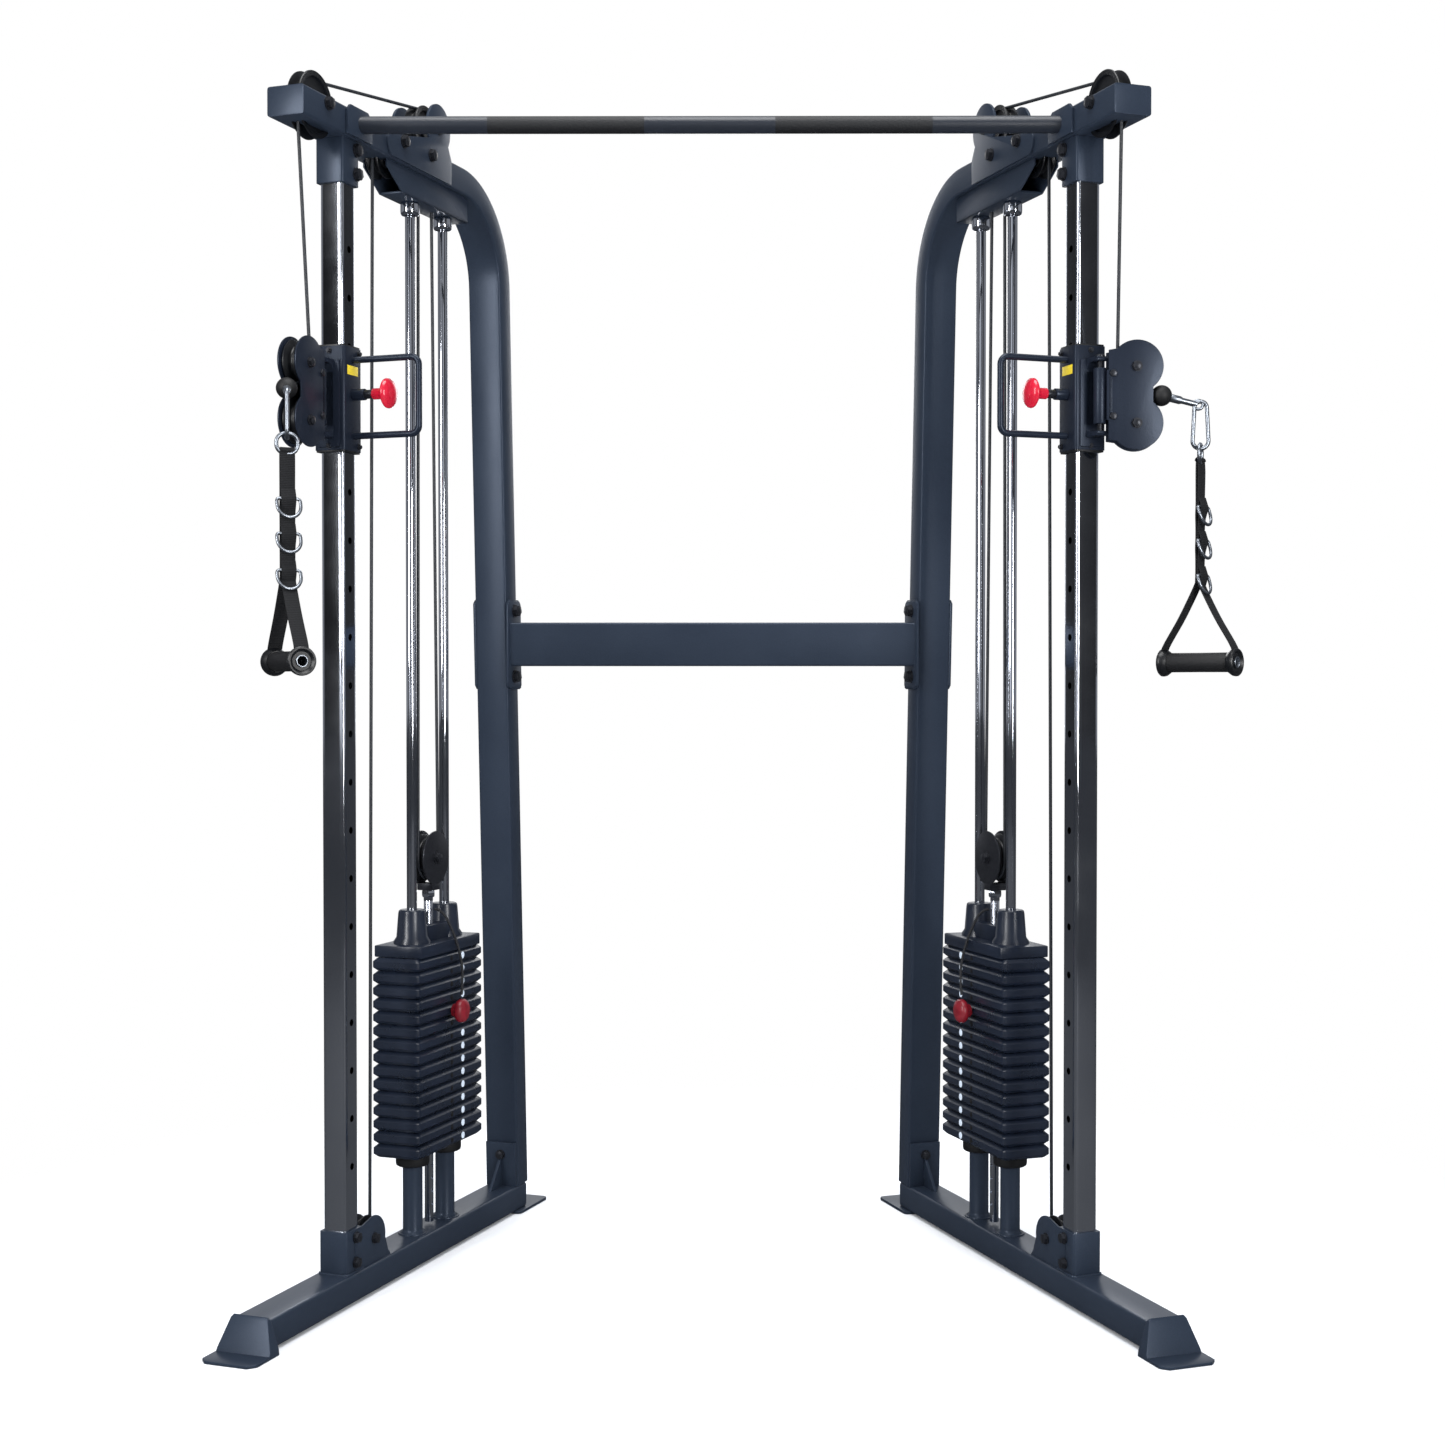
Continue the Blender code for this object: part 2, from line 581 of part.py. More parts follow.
def stack_bores(z0, z1):
    cuts = [rod((0, at, z0), (0, at, z1), ROD_RADIUS + 0.001, sides=12) for at in RODS_AT]
    return cuts + [rod((0, STACK_AT, z0), (0, STACK_AT, z1), STEM_RADIUS + 0.001, sides=12)]


def stack_head(side):
    """The head casting that rides on the rods, the selector stem below it and the floating pulley's fork above."""
    z0 = PLATES_TOP
    shapes = [box((-0.022, 0.022), (RODS_AT[0], RODS_AT[1]), (z0, z0 + HEAD_TALL))]
    for at in RODS_AT:
        shapes.append(rod((0, at, z0), (0, at, z0 + BOSS_TALL), 0.029, 0.021, sides=16))
    (at, height), radius, _ = FLOATING
    fork_out = PULLEY_WIDE / 2 + 0.0055
    fork_low = height - radius - 0.003
    shapes.append(rod((0, at, z0 + 0.01), (0, at, fork_low), 0.007))
    shapes.append(rod((0, at, z0 + HEAD_TALL - 0.002), (0, at, z0 + HEAD_TALL + 0.014), 0.013, sides=6))
    shapes.append(box((-fork_out, fork_out), (at - 0.013, at + 0.013), (fork_low - 0.014, fork_low)))
    disc = arc((at, height), radius + 0.005, 0, 342, 19)
    for sign in (-1, 1):
        edges = sorted((sign * (fork_out - 0.003), sign * fork_out))
        shapes.append(prism(disc, "x", *edges))
    shapes.append(rod((-fork_out + 0.001, at, height), (fork_out - 0.001, at, height), AXLE_RADIUS))
    shapes.append(rod((0, at, BASE_TOP + 0.006), (0, at, z0 + 0.01), STEM_RADIUS))
    cuts = [rod((0, rod_at, z0 - 0.01), (0, rod_at, z0 + 0.12), ROD_RADIUS + 0.001, sides=12) for rod_at in RODS_AT]
    for k in range(PLATE_COUNT):
        z = STACK_BOTTOM + (k + 0.5) * PLATE_PITCH
        cuts.append(rod((-0.02, STACK_AT, z), (0.02, STACK_AT, z), PIN_RADIUS + PIN_CLEAR, sides=6))
    side.add("stack_head", fuse(shapes, cuts), STACK_PAINT, (0, STACK_AT, z0))


def selector_pin(side):
    reach = PLATE_WIDE / 2
    profile = [(0, -0.008), (PIN_RADIUS, -0.007), (PIN_RADIUS, reach + 0.004), (0.010, reach + 0.004),
               (0.013, reach + 0.010), (0.0255, reach + 0.016), (0.0255, reach + 0.024), (0.019, reach + 0.031),
               (0, reach + 0.033)]
    side.add("selector_pin", turned(profile, (0, STACK_AT, PIN_HEIGHT), (1, 0, 0), 16), RED,
             (0, STACK_AT, PIN_HEIGHT))


def weight_stack(side):
    z0, z1 = STACK_BOTTOM - 0.02, PLATES_TOP + 0.02
    resting = PLATE_COUNT - PLATES_PICKED
    side.add("plates_resting", plate_block(STACK_BOTTOM, resting, stack_bores(z0, z1)), STACK_PAINT,
             (0, STACK_AT, STACK_BOTTOM))
    side.add("plates_lifted", plate_block(SPLIT, PLATES_PICKED, stack_bores(z0, z1)), STACK_PAINT,
             (0, STACK_AT, SPLIT))
    for name, at in zip(("front", "rear"), RODS_AT):
        z0 = STACK_BOTTOM - BUMPER_TALL - 0.028
        mesh = rod((0, at, z0), (0, at, ROD_HOLDER_BOTTOM - CLEAR), ROD_RADIUS)
        side.add(f"guide_rod_{name}", mesh, CHROME, (0, at, z0))
    stack_head(side)
    side.add("floating_pulley", pulley_mesh(FLOATING), NYLON, (0, *FLOATING[0]))
    selector_pin(side)
    lanyard(side)


def smooth_route(points, steps):
    """Points along a smooth curve through the given ones."""
    spots = [Vector(p) for p in points]
    spots = [2 * spots[0] - spots[1]] + spots + [2 * spots[-1] - spots[-2]]
    out = []
    for i in range(1, len(spots) - 2):
        a, b, c, d = spots[i - 1 : i + 3]
        for k in range(steps):
            t = k / steps
            out.append(0.5 * ((2 * b) + (c - a) * t + (2 * a - 5 * b + 4 * c - d) * t * t
                              + (3 * b - a - 3 * c + d) * t ** 3))
    return out + [spots[-2]]


LANYARD_RADIUS = 0.0025
LANYARD_ROUTE = (
    (0.0135, 0.612, 0.6585), (0.0220, 0.613, 0.6570), (0.0330, 0.616, 0.6470), (0.0430, 0.620, 0.6260),
    (0.0520, 0.625, 0.6000), (0.0590, 0.628, 0.5720), (0.0660, 0.624, 0.5430),
    (0.0700, 0.614, 0.5070), (0.0695, 0.612, 0.4980),
)


def lanyard(side):
    """The cord that ties the selector pin to the head."""
    points = [side.at(*p) for p in smooth_route(LANYARD_ROUTE, 2)]
    curve = bpy.data.curves.new(f"pin_lanyard_{side.name}", "CURVE")
    curve.dimensions = "3D"
    curve.bevel_depth = LANYARD_RADIUS
    curve.bevel_resolution = 2
    curve.use_fill_caps = True
    curve.materials.append(material(COATING))
    spline = curve.splines.new("POLY")
    spline.points.add(len(points) - 1)
    for spot, point in zip(spline.points, points):
        spot.co = (*point, 1)
    obj = bpy.data.objects.new(curve.name, curve)
    bpy.context.scene.collection.objects.link(obj)
    obj.parent = side.frame


# ---------------------------------------------------------------- carriage, swivel and handle


def carriage(side):
    low, high = SLEEVE_MIDDLE - SLEEVE_TALL / 2, SLEEVE_MIDDLE + SLEEVE_TALL / 2
    sleeve = prism(rectangle(SLEEVE_SIZE, SLEEVE_SIZE, TUBE_CORNER, (0, MAST_AT)), "z", low, high)
    inner = MAST_SIZE + 0.0012
    cuts = [prism(rectangle(inner, inner, 0.002, (0, MAST_AT)), "z", low - 0.01, high + 0.01)]
    half = SLEEVE_SIZE / 2
    handle_path = [(half - 0.003, z) for z in (CARRIAGE_HEIGHT + 0.0605,)]
    handle_path += arc((half + 0.110, CARRIAGE_HEIGHT + 0.0485), 0.012, 90, 0, 3)
    handle_path += arc((half + 0.110, CARRIAGE_HEIGHT - 0.0595), 0.012, 0, -90, 3)
    handle_path += [(half - 0.003, CARRIAGE_HEIGHT - 0.0715)]
    shapes = [sleeve, sweep([(x, MAST_AT, z) for x, z in handle_path], 0.0058, 8)]
    # Backing plate with two hinge lugs and the hinge pin
    front = MAST_AT - half
    swivel_middle = swivel_heights()[0] / 2 + swivel_heights()[1] / 2
    shapes.append(box((-0.0225, 0.0225), (front - 0.006, front + 0.001),
                      (swivel_middle - 0.083, swivel_middle + 0.067)))
    lug = [(-0.011, front), (-0.011, HINGE_AT)] + arc((0, HINGE_AT), 0.011, 180, 360, 6) + [(0.011, front)]
    for z in (swivel_middle - 0.057, swivel_middle + 0.057):
        shapes.append(prism(lug, "z", z - 0.009, z + 0.009))
    shapes.append(rod((0, HINGE_AT, swivel_middle - 0.064), (0, HINGE_AT, swivel_middle + 0.064), 0.004, sides=10))
    # Plunger barrel, and the anchor of the cable behind the mast
    shapes.append(rod((half - 0.002, MAST_AT, CARRIAGE_HEIGHT), (half + 0.024, MAST_AT, CARRIAGE_HEIGHT), 0.010))
    cuts.append(rod((half - 0.02, MAST_AT, CARRIAGE_HEIGHT), (half + 0.03, MAST_AT, CARRIAGE_HEIGHT),
                    PLUNGER_RADIUS + 0.0004, sides=10))
    shapes.append(box((-0.009, 0.009), (MAST_AT + half - 0.001, MAST_AT + half + 0.010), (low + 0.012, low + 0.034)))
    side.add("carriage", fuse(shapes, cuts), PAINT, (0, MAST_AT, CARRIAGE_HEIGHT))


PLUNGER_RADIUS = 0.0045


def plunger(side):
    half = SLEEVE_SIZE / 2
    tip = MAST_SIZE / 2 + CLEAR
    face = half + 0.024 + CLEAR
    profile = [(0, tip), (PLUNGER_RADIUS, tip + 0.001), (PLUNGER_RADIUS, face), (0.0065, face),
               (0.0065, face + 0.016), (0.017, face + 0.018), (0.0255, face + 0.026), (0.0262, face + 0.032),
               (0.021, face + 0.042), (0.010, face + 0.047), (0, face + 0.048)]
    side.add("plunger", turned(profile, (0, MAST_AT, CARRIAGE_HEIGHT), (1, 0, 0), 16), RED,
             (0, MAST_AT, CARRIAGE_HEIGHT))


def swivel_heights():
    """Heights of the lower and upper swivel pulley axles."""
    middle = CARRIAGE_HEIGHT - 0.0095
    return middle - SWIVEL_SPACING / 2, middle + SWIVEL_SPACING / 2


def swivel(side, hinge):
    """Two plates with round lobes round the pulleys, joined at the back to a barrel on the hinge pin. Here y is
    measured from the hinge axis."""
    low, high = swivel_heights()
    lobe = LOBE_RADIUS
    outline = [(-0.012, low - 0.028), (-0.012, high + 0.028)]
    outline += arc((-SWIVEL_REACH, high), lobe, 42, 232, 10)
    outline += arc((-SWIVEL_REACH, low), lobe, 128, 318, 10)
    inner, outer = SWIVEL_GAP / 2, SWIVEL_GAP / 2 + SWIVEL_PLATE
    shapes = [box((-outer, outer), (-0.019, -0.009), (low + 0.006, high - 0.006))]
    shapes += [prism(outline, "x", *edges) for edges in ((-outer, -inner), (inner, outer))]
    shapes.append(rod((0, 0, low + 0.0008), (0, 0, high - 0.0008), 0.0105))
    for z in (low, high):
        shapes.append(rod((-outer + 0.001, -SWIVEL_REACH, z), (outer - 0.001, -SWIVEL_REACH, z), 0.005))
    cuts = [rod((0, 0, low - 0.01), (0, 0, high + 0.01), 0.0045, sides=10)]
    place_on(side, "swivel", fuse(shapes, cuts), PAINT, hinge)
    for name, z in (("lower", low), ("upper", high)):
        mesh = pulley_mesh(((-SWIVEL_REACH, z), SWIVEL_RADIUS, SWIVEL_ROPE), 0.0, 0.025, 0.0053)
        place_on(side, f"swivel_pulley_{name}", mesh, NYLON, hinge, (0, -SWIVEL_REACH, z))


def place_on(side, name, mesh, spec, pivot, origin=(0, 0, 0)):
    """As Side.add, for a piece drawn round a vertical axis and carried by a pivot that stands on it."""
    return side.add(name, mesh, spec, origin, pivot)


def ring_path(half_wide, low, high, corner, steps=3):
    """A rounded rectangle's points, as (across, height)."""
    points = []
    corners = ((1, high, 0), (-1, high, 90), (-1, low, 180), (1, low, 270))
    for sign, z, start in corners:
        centre = (sign * (half_wide - corner), z - corner if z == high else z + corner)
        points += arc(centre, corner, start, start + 90, steps)
    return points


def handle(side, ball):
    """Everything that hangs on the cable's end. Here the origin is the ball's middle and -y is forwards."""
    _, high = swivel_heights()
    rope_z = (high - SWIVEL_ROPE) - ball_height()
    eye = (0, -HANDLE_AHEAD + 0.004, -0.016)
    stub_start = (0, BALL_REACH - SWIVEL_REACH - 0.004, rope_z)
    ball_profile = [(0, -BALL_RADIUS)] + [
        (BALL_RADIUS * math.sin(math.radians(a)), -BALL_RADIUS * math.cos(math.radians(a))) for a in range(30, 180, 30)
    ] + [(0, BALL_RADIUS)]
    carabiner = arc((-HANDLE_AHEAD, -0.021), 0.0105, 0, 180, 5) + arc((-HANDLE_AHEAD, -0.0745), 0.0135, 180, 360, 6)
    shapes = [
        turned(ball_profile, (0, 0, 0), (0, 1, 0), 12),
        rod((0, -0.010, -0.002), eye, 0.0060, sides=10),
        sweep([(0, y, z) for y, z in carabiner], 0.0036, 6, True),
        rod((-0.005, eye[1] + 0.001, eye[2]), (0.005, eye[1] + 0.001, eye[2]), 0.0085),
    ]
    fitting = fuse(shapes)
    if HANDLE_TWIST[side.name] == 0:
        fitting = fuse([fitting, rod(stub_start, (0, 0.010, 0.001), CABLE_RADIUS, sides=8)])
    else:
        turn = Matrix.Rotation(HANDLE_TWIST[side.name], 4, "Z")
        start = turn @ Vector(stub_start)
        fitting = fuse([fitting, rod(start, turn @ Vector((0, 0.010, 0.001)), CABLE_RADIUS, sides=8)])
    side.add("cable_end", fitting, BLACK_STEEL, (0, 0, 0), ball)
    strap(side, ball)
    grip(side, ball)


def strap(side, ball):
    """Steel ring, webbing with three rings sewn in, and two legs that spread to the grip."""
    y = -HANDLE_AHEAD
    ring = [(x, y, z) for x, z in ring_path(0.019, -0.1110, -0.0810, 0.008)]
    shapes = [sweep(ring, 0.0030, 6, True)]
    apex, leg_low = -0.323, -GRIP_DROP + 0.006
    shapes.append(box((-0.0135, 0.0135), (y - 0.0045, y + 0.0045), (-0.135, -0.105)))
    shapes.append(box((-0.0135, 0.0135), (y - 0.0025, y + 0.0025), (apex - 0.004, -0.130)))
    for z in (-0.1985, -0.2555, -0.3155):
        shapes.append(box((-0.024, 0.024), (y - 0.0045, y + 0.0045), (z - 0.003, z + 0.003)))
    leg_reach = GRIP_LONG / 2 - GRIP_CAP_LONG + 0.0015
    for sign in (-1, 1):
        legs = []
        for z, out, x_half in ((apex + 0.006, 0.000, 0.0125), (leg_low, leg_reach, 0.0115)):
            middle = y + sign * out
            legs.append([(-x_half, middle - 0.0016, z), (x_half, middle - 0.0016, z),
                         (x_half, middle + 0.0016, z), (-x_half, middle + 0.0016, z)])
        shapes.append(loft(legs))
    cut = rod((0, y - GRIP_LONG, -GRIP_DROP), (0, y + GRIP_LONG, -GRIP_DROP), GRIP_CAP_RADIUS + CLEAR, sides=20)
    side.add("handle_strap", fuse(shapes, [cut]), WEBBING, (0, 0, 0), ball)


def grip(side, ball):
    half = GRIP_LONG / 2
    cap = GRIP_CAP_LONG
    profile = [(0, -half), (GRIP_CAP_RADIUS - 0.003, -half), (GRIP_CAP_RADIUS, -half + 0.003),
               (GRIP_CAP_RADIUS, -half + cap), (GRIP_RADIUS, -half + cap + 0.001), (GRIP_RADIUS, half - cap - 0.001),
               (GRIP_CAP_RADIUS, half - cap), (GRIP_CAP_RADIUS, half - 0.003), (GRIP_CAP_RADIUS - 0.003, half),
               (0, half)]
    mesh = turned(profile, (0, -HANDLE_AHEAD, -GRIP_DROP), (0, 1, 0), 20)
    side.add("handle_grip", mesh, NYLON, (0, 0, 0), ball)


def ball_height():
    low, high = swivel_heights()
    return (low + high) / 2


# ---------------------------------------------------------------- cable


def cable_mesh(points, sides=6):
    return sweep([(0, y, z) for y, z in points], CABLE_RADIUS, sides)


def tangent_tilt(first, second):
    """Degrees that the straight run over two pulleys of about equal size rises."""
    (y0, z0), _, r0 = first
    (y1, z1), _, r1 = second
    reach = math.hypot(y1 - y0, z1 - z0)
    return math.degrees(math.atan2(z1 - z0, y1 - y0) + math.asin((r1 - r0) / reach))


def cables(side):
    front_at = FRONT_TOP[0][0] - FRONT_TOP[2]
    _, high = swivel_heights()
    # Down the front to the swivel's upper pulley
    ahead = SWIVEL_REACH - SWIVEL_ROPE
    turn = SWIVEL_TURN[side.name]
    top = Vector((0, front_at, FRONT_TOP[0][1] - LEAD - 3 * CLEAR))
    foot = Vector((-ahead * math.sin(turn), HINGE_AT - ahead * math.cos(turn), high))
    side.add("cable_front", sweep([top, foot], CABLE_RADIUS, 6), COATING, tuple(top))
    # Over the front and rear top pulleys
    tilt = tangent_tilt(FRONT_TOP, REAR_TOP)
    over = [(front_at, FRONT_TOP[0][1] - LEAD)] + arc(FRONT_TOP[0], FRONT_TOP[2], 180, 90 + tilt, 6)
    over += arc(REAR_TOP[0], REAR_TOP[2], 90 + tilt, 0, 6)
    over += [(REAR_TOP[0][0] + REAR_TOP[2], REAR_TOP[0][1] - LEAD)]
    side.add("cable_over", cable_mesh(over), COATING, (0, *FRONT_TOP[0]))
    # Down to the floating pulley, round it and up again
    rear_at = REAR_TOP[0][0] + REAR_TOP[2]
    rise_at = RETURN_REAR[0][0] + RETURN_REAR[2]
    loop = [(rear_at, REAR_TOP[0][1] - LEAD - CLEAR)] + arc(FLOATING[0], FLOATING[2], 0, -180, 10)
    loop += [(rise_at, RETURN_REAR[0][1] - LEAD - CLEAR)]
    side.add("cable_loop", cable_mesh(loop), COATING, (0, rear_at, RETURN_REAR[0][1] - LEAD))
    # Over both return pulleys, down behind the mast and round the bottom pulley
    back = [(rise_at, RETURN_REAR[0][1] - LEAD)] + arc(RETURN_REAR[0], RETURN_REAR[2], 0, 90, 5)
    back += arc(RETURN_FRONT[0], RETURN_FRONT[2], 90, 180, 5) + arc(BOTTOM[0], BOTTOM[2], 0, -180, 10)
    back += [(BOTTOM[0][0] - BOTTOM[2], BOTTOM[0][1] + LEAD)]
    side.add("cable_back", cable_mesh(back), COATING, (0, *BOTTOM[0]))
    # Up behind the mast to the carriage
    up_at = BOTTOM[0][0] - BOTTOM[2]
    anchor = SLEEVE_MIDDLE - SLEEVE_TALL / 2 + 0.012
    start = BOTTOM[0][1] + LEAD + CLEAR
    side.add("cable_mast", cable_mesh([(up_at, start), (up_at, anchor - CLEAR)]), COATING, (0, up_at, start))


# ---------------------------------------------------------------- between the frames


def beyond_frame(side_sign, limit):
    """A block that fills everything outside a plane parallel to one frame, limit inwards of its middle."""
    block = box((-1.0, limit), (-0.6, 1.6), (0.8, 2.4))
    place_matrix = Matrix.Translation((-FOOT_HALF_SPREAD, 0, 0)) @ Matrix.Rotation(-SPLAY, 4, "Z")
    block = moved(block, place_matrix)
    if side_sign < 0:
        block = moved(block, Matrix.Scale(-1, 4, (1, 0, 0)))
        block.flip_normals()
    return block


def frame_plate(side_sign, shape):
    shape = moved(shape, Matrix.Translation((-FOOT_HALF_SPREAD, 0, 0)) @ Matrix.Rotation(-SPLAY, 4, "Z"))
    if side_sign < 0:
        shape = moved(shape, Matrix.Scale(-1, 4, (1, 0, 0)))
        shape.flip_normals()
    return shape


def pull_up_bar(machine):
    face = TUBE_WIDE / 2 + CLEAR
    bar = rod((-0.9, BAR_AT, BAR_HEIGHT), (0.9, BAR_AT, BAR_HEIGHT), BAR_RADIUS, sides=16)
    bar = fuse([bar], [beyond_frame(sign, face + 0.002) for sign in (1, -1)])
    outline = [(0.276, ARM_BOTTOM + 0.002), (0.336, ARM_BOTTOM + 0.002), (0.336, ARM_TOP - 0.006),
               (0.322, ARM_TOP + 0.004), (0.276, ARM_TOP + 0.004)]
    plates = [frame_plate(sign, prism(outline, "x", face, face + 0.005)) for sign in (1, -1)]
    place("pull_up_bar", fuse([bar] + plates), PAINT, (0, BAR_AT, BAR_HEIGHT), machine)


def crossmember(machine):
    face = TUBE_WIDE / 2 + 0.005 + CLEAR
    low, high = CROSS_MIDDLE - CROSS_TALL / 2, CROSS_MIDDLE + CROSS_TALL / 2
    outline = rectangle(CROSS_DEEP, CROSS_TALL, 0.004, (CROSS_AT, (low + high) / 2))
    beam = prism(outline, "x", -0.6, 0.6)
    beam = fuse([beam], [beyond_frame(sign, face + 0.002) for sign in (1, -1)])
    middle = upright_middle(CROSS_MIDDLE) - 0.010
    outline = rectangle(0.060, CROSS_PLATE_TALL, 0.006, (middle, CROSS_MIDDLE))
    plates = [frame_plate(sign, prism(outline, "x", face, face + CROSS_PLATE)) for sign in (1, -1)]
    place("crossmember", fuse([beam] + plates), PAINT, (0, CROSS_AT, CROSS_MIDDLE), machine)


def centre_on_box(machine):
    """Moves the whole machine so that the middle of its footprint's box is over the origin."""
    bpy.context.view_layer.update()
    graph = bpy.context.evaluated_depsgraph_get()
    corners = []
    for obj in bpy.data.objects:
        if obj.type == "EMPTY":
            continue
        evaluated = obj.evaluated_get(graph)
        mesh = evaluated.to_mesh()
        corners += [evaluated.matrix_world @ v.co for v in mesh.vertices]
        evaluated.to_mesh_clear()
    for axis in (0, 1):
        values = [c[axis] for c in corners]
        machine.location[axis] -= (min(values) + max(values)) / 2


def build_side(name, machine):
    side = Side(name, machine)
    base_frame(side)
    mast(side)
    upright_arm(side)
    fixed_pulleys(side)
    weight_stack(side)
    carriage(side)
    plunger(side)
    hinge = side.pivot("hinge", (0, HINGE_AT, 0), SWIVEL_TURN[name])
    swivel(side, hinge)
    ball = side.pivot("ball", (0, -BALL_REACH, ball_height()), HANDLE_TWIST[name], hinge)
    handle(side, ball)
    cables(side)


def main():
    clear_scene()
    machine = empty("machine", (0, 0, 0))
    for name in ("left", "right"):
        build_side(name, machine)
    pull_up_bar(machine)
    crossmember(machine)
    centre_on_box(machine)


main()
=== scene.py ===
import math

import bmesh
import bpy
from mathutils import Matrix, Vector


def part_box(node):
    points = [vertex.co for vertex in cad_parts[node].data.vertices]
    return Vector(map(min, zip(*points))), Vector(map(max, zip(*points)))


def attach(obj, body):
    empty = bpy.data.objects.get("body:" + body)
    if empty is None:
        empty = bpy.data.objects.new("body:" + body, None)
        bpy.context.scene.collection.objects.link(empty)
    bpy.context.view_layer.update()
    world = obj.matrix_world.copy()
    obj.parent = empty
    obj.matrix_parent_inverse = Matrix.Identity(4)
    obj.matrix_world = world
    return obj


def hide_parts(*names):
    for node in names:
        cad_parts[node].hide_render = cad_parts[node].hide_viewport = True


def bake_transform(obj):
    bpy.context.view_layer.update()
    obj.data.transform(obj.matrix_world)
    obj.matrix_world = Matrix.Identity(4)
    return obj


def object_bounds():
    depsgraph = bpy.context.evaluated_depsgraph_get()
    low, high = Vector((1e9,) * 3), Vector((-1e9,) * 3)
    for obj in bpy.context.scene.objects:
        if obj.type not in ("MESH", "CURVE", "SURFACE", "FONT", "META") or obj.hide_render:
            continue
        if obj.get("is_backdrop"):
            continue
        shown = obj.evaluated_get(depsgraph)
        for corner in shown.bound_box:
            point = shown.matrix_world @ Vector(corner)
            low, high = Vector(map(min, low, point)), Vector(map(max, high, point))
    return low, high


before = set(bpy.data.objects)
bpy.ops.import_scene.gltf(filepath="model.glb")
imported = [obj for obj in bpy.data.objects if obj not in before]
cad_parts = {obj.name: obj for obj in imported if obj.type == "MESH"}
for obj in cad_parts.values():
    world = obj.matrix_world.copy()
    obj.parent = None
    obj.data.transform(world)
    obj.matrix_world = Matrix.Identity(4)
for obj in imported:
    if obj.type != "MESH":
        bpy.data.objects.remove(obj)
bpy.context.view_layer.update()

# ---------------------------------------------------------------- camera, floor and light
# The machine stands in a white studio. A person's eye level, straight in front of its open side, sees both
# splayed frames; the lens is a normal one. Big soft boxes left and right leave dark gaps for the chrome to
# mirror.

SPLAY = math.radians(19.4)
FOOT_HALF_SPREAD = 0.7434
ROD_FRONT = 0.547

cross_low, cross_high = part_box("crossmember")
rod_low, rod_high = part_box("guide_rod_front_left")
MIDDLE_X = (cross_low.x + cross_high.x) / 2
FRONT_Y = (rod_low.y + rod_high.y) / 2 - ROD_FRONT * math.cos(SPLAY)

camera_data = bpy.data.cameras.new("camera")
camera_data.lens = 50.15
camera_data.sensor_width = 36
camera = bpy.data.objects.new("camera", camera_data)
camera.location = (MIDDLE_X + 0.035, FRONT_Y - 3.253, 1.083)
camera.rotation_euler = (math.radians(90 - 1.03), 0, math.radians(0.21))
bpy.context.scene.collection.objects.link(camera)
bpy.context.scene.camera = camera


def linear(hex_color):
    """An sRGB hex colour as linear RGBA."""
    values = [int(hex_color[i : i + 2], 16) / 255 for i in (1, 3, 5)]
    return [v / 12.92 if v <= 0.04045 else ((v + 0.055) / 1.055) ** 2.4 for v in values] + [1]


def add(tree, kind, links=None, **settings):
    """A node with its settings, its input values (by socket name, spaces as _) and its incoming links.

    A link comes from a socket, or from the first output of a node.
    """
    made = tree.nodes.new(kind)
    for key, value in settings.items():
        if hasattr(made, key):
            setattr(made, key, value)
    for key, value in settings.items():
        name = key.replace("_", " ")
        if not hasattr(made, key):
            made.inputs[int(key[1:]) if key[0] == "i" and key[1:].isdigit() else name].default_value = value
    for name, source in (links or {}).items():
        socket = source if isinstance(source, bpy.types.NodeSocket) else source.outputs[0]
        tree.links.new(socket, made.inputs[name])
    return made


def finish(name):
    """A new material, its node tree, its Principled shader and its Object coordinates."""
    made = bpy.data.materials.new(name)
    made.use_nodes = True
    tree = made.node_tree
    return made, tree, tree.nodes["Principled BSDF"], add(tree, "ShaderNodeTexCoord").outputs["Object"]


def wire(tree, shader, **inputs):
    """Sets the shader's inputs (spaces as _): a node is linked, a constant goes on the socket itself."""
    for name, value in inputs.items():
        socket = shader.inputs[name.replace("_", " ")]
        if isinstance(value, bpy.types.Node):
            tree.links.new(value.outputs[0], socket)
        else:
            socket.default_value = value


def area_light(name, place, aim, size, power, tall=None):
    data = bpy.data.lights.new(name, "AREA")
    data.shape = "RECTANGLE"
    data.size = size
    data.size_y = tall or size
    data.energy = power
    made = bpy.data.objects.new(name, data)
    made.location = place
    made.rotation_euler = (Vector(aim) - Vector(place)).to_track_quat("-Z", "Y").to_euler()
    bpy.context.scene.collection.objects.link(made)


area_light("key_left", (-2.8, -3.0, 2.3), (0, 0, 1.0), 0.7, 80, 2.2)
area_light("key_right", (2.3, -3.9, 1.7), (0, 0, 0.9), 0.7, 95, 2.0)
area_light("top", (0, -0.9, 4.6), (0, 0, 0), 2.4, 120)
area_light("back", (0, 3.6, 2.6), (0, 0, 1.2), 2.6, 40, 1.6)

world = bpy.data.worlds.new("studio")
bpy.context.scene.world = world
world.use_nodes = True
tree = world.node_tree
tree.nodes.clear()
direction = add(tree, "ShaderNodeTexCoord")
axes = add(tree, "ShaderNodeSeparateXYZ", {0: direction.outputs["Generated"]})
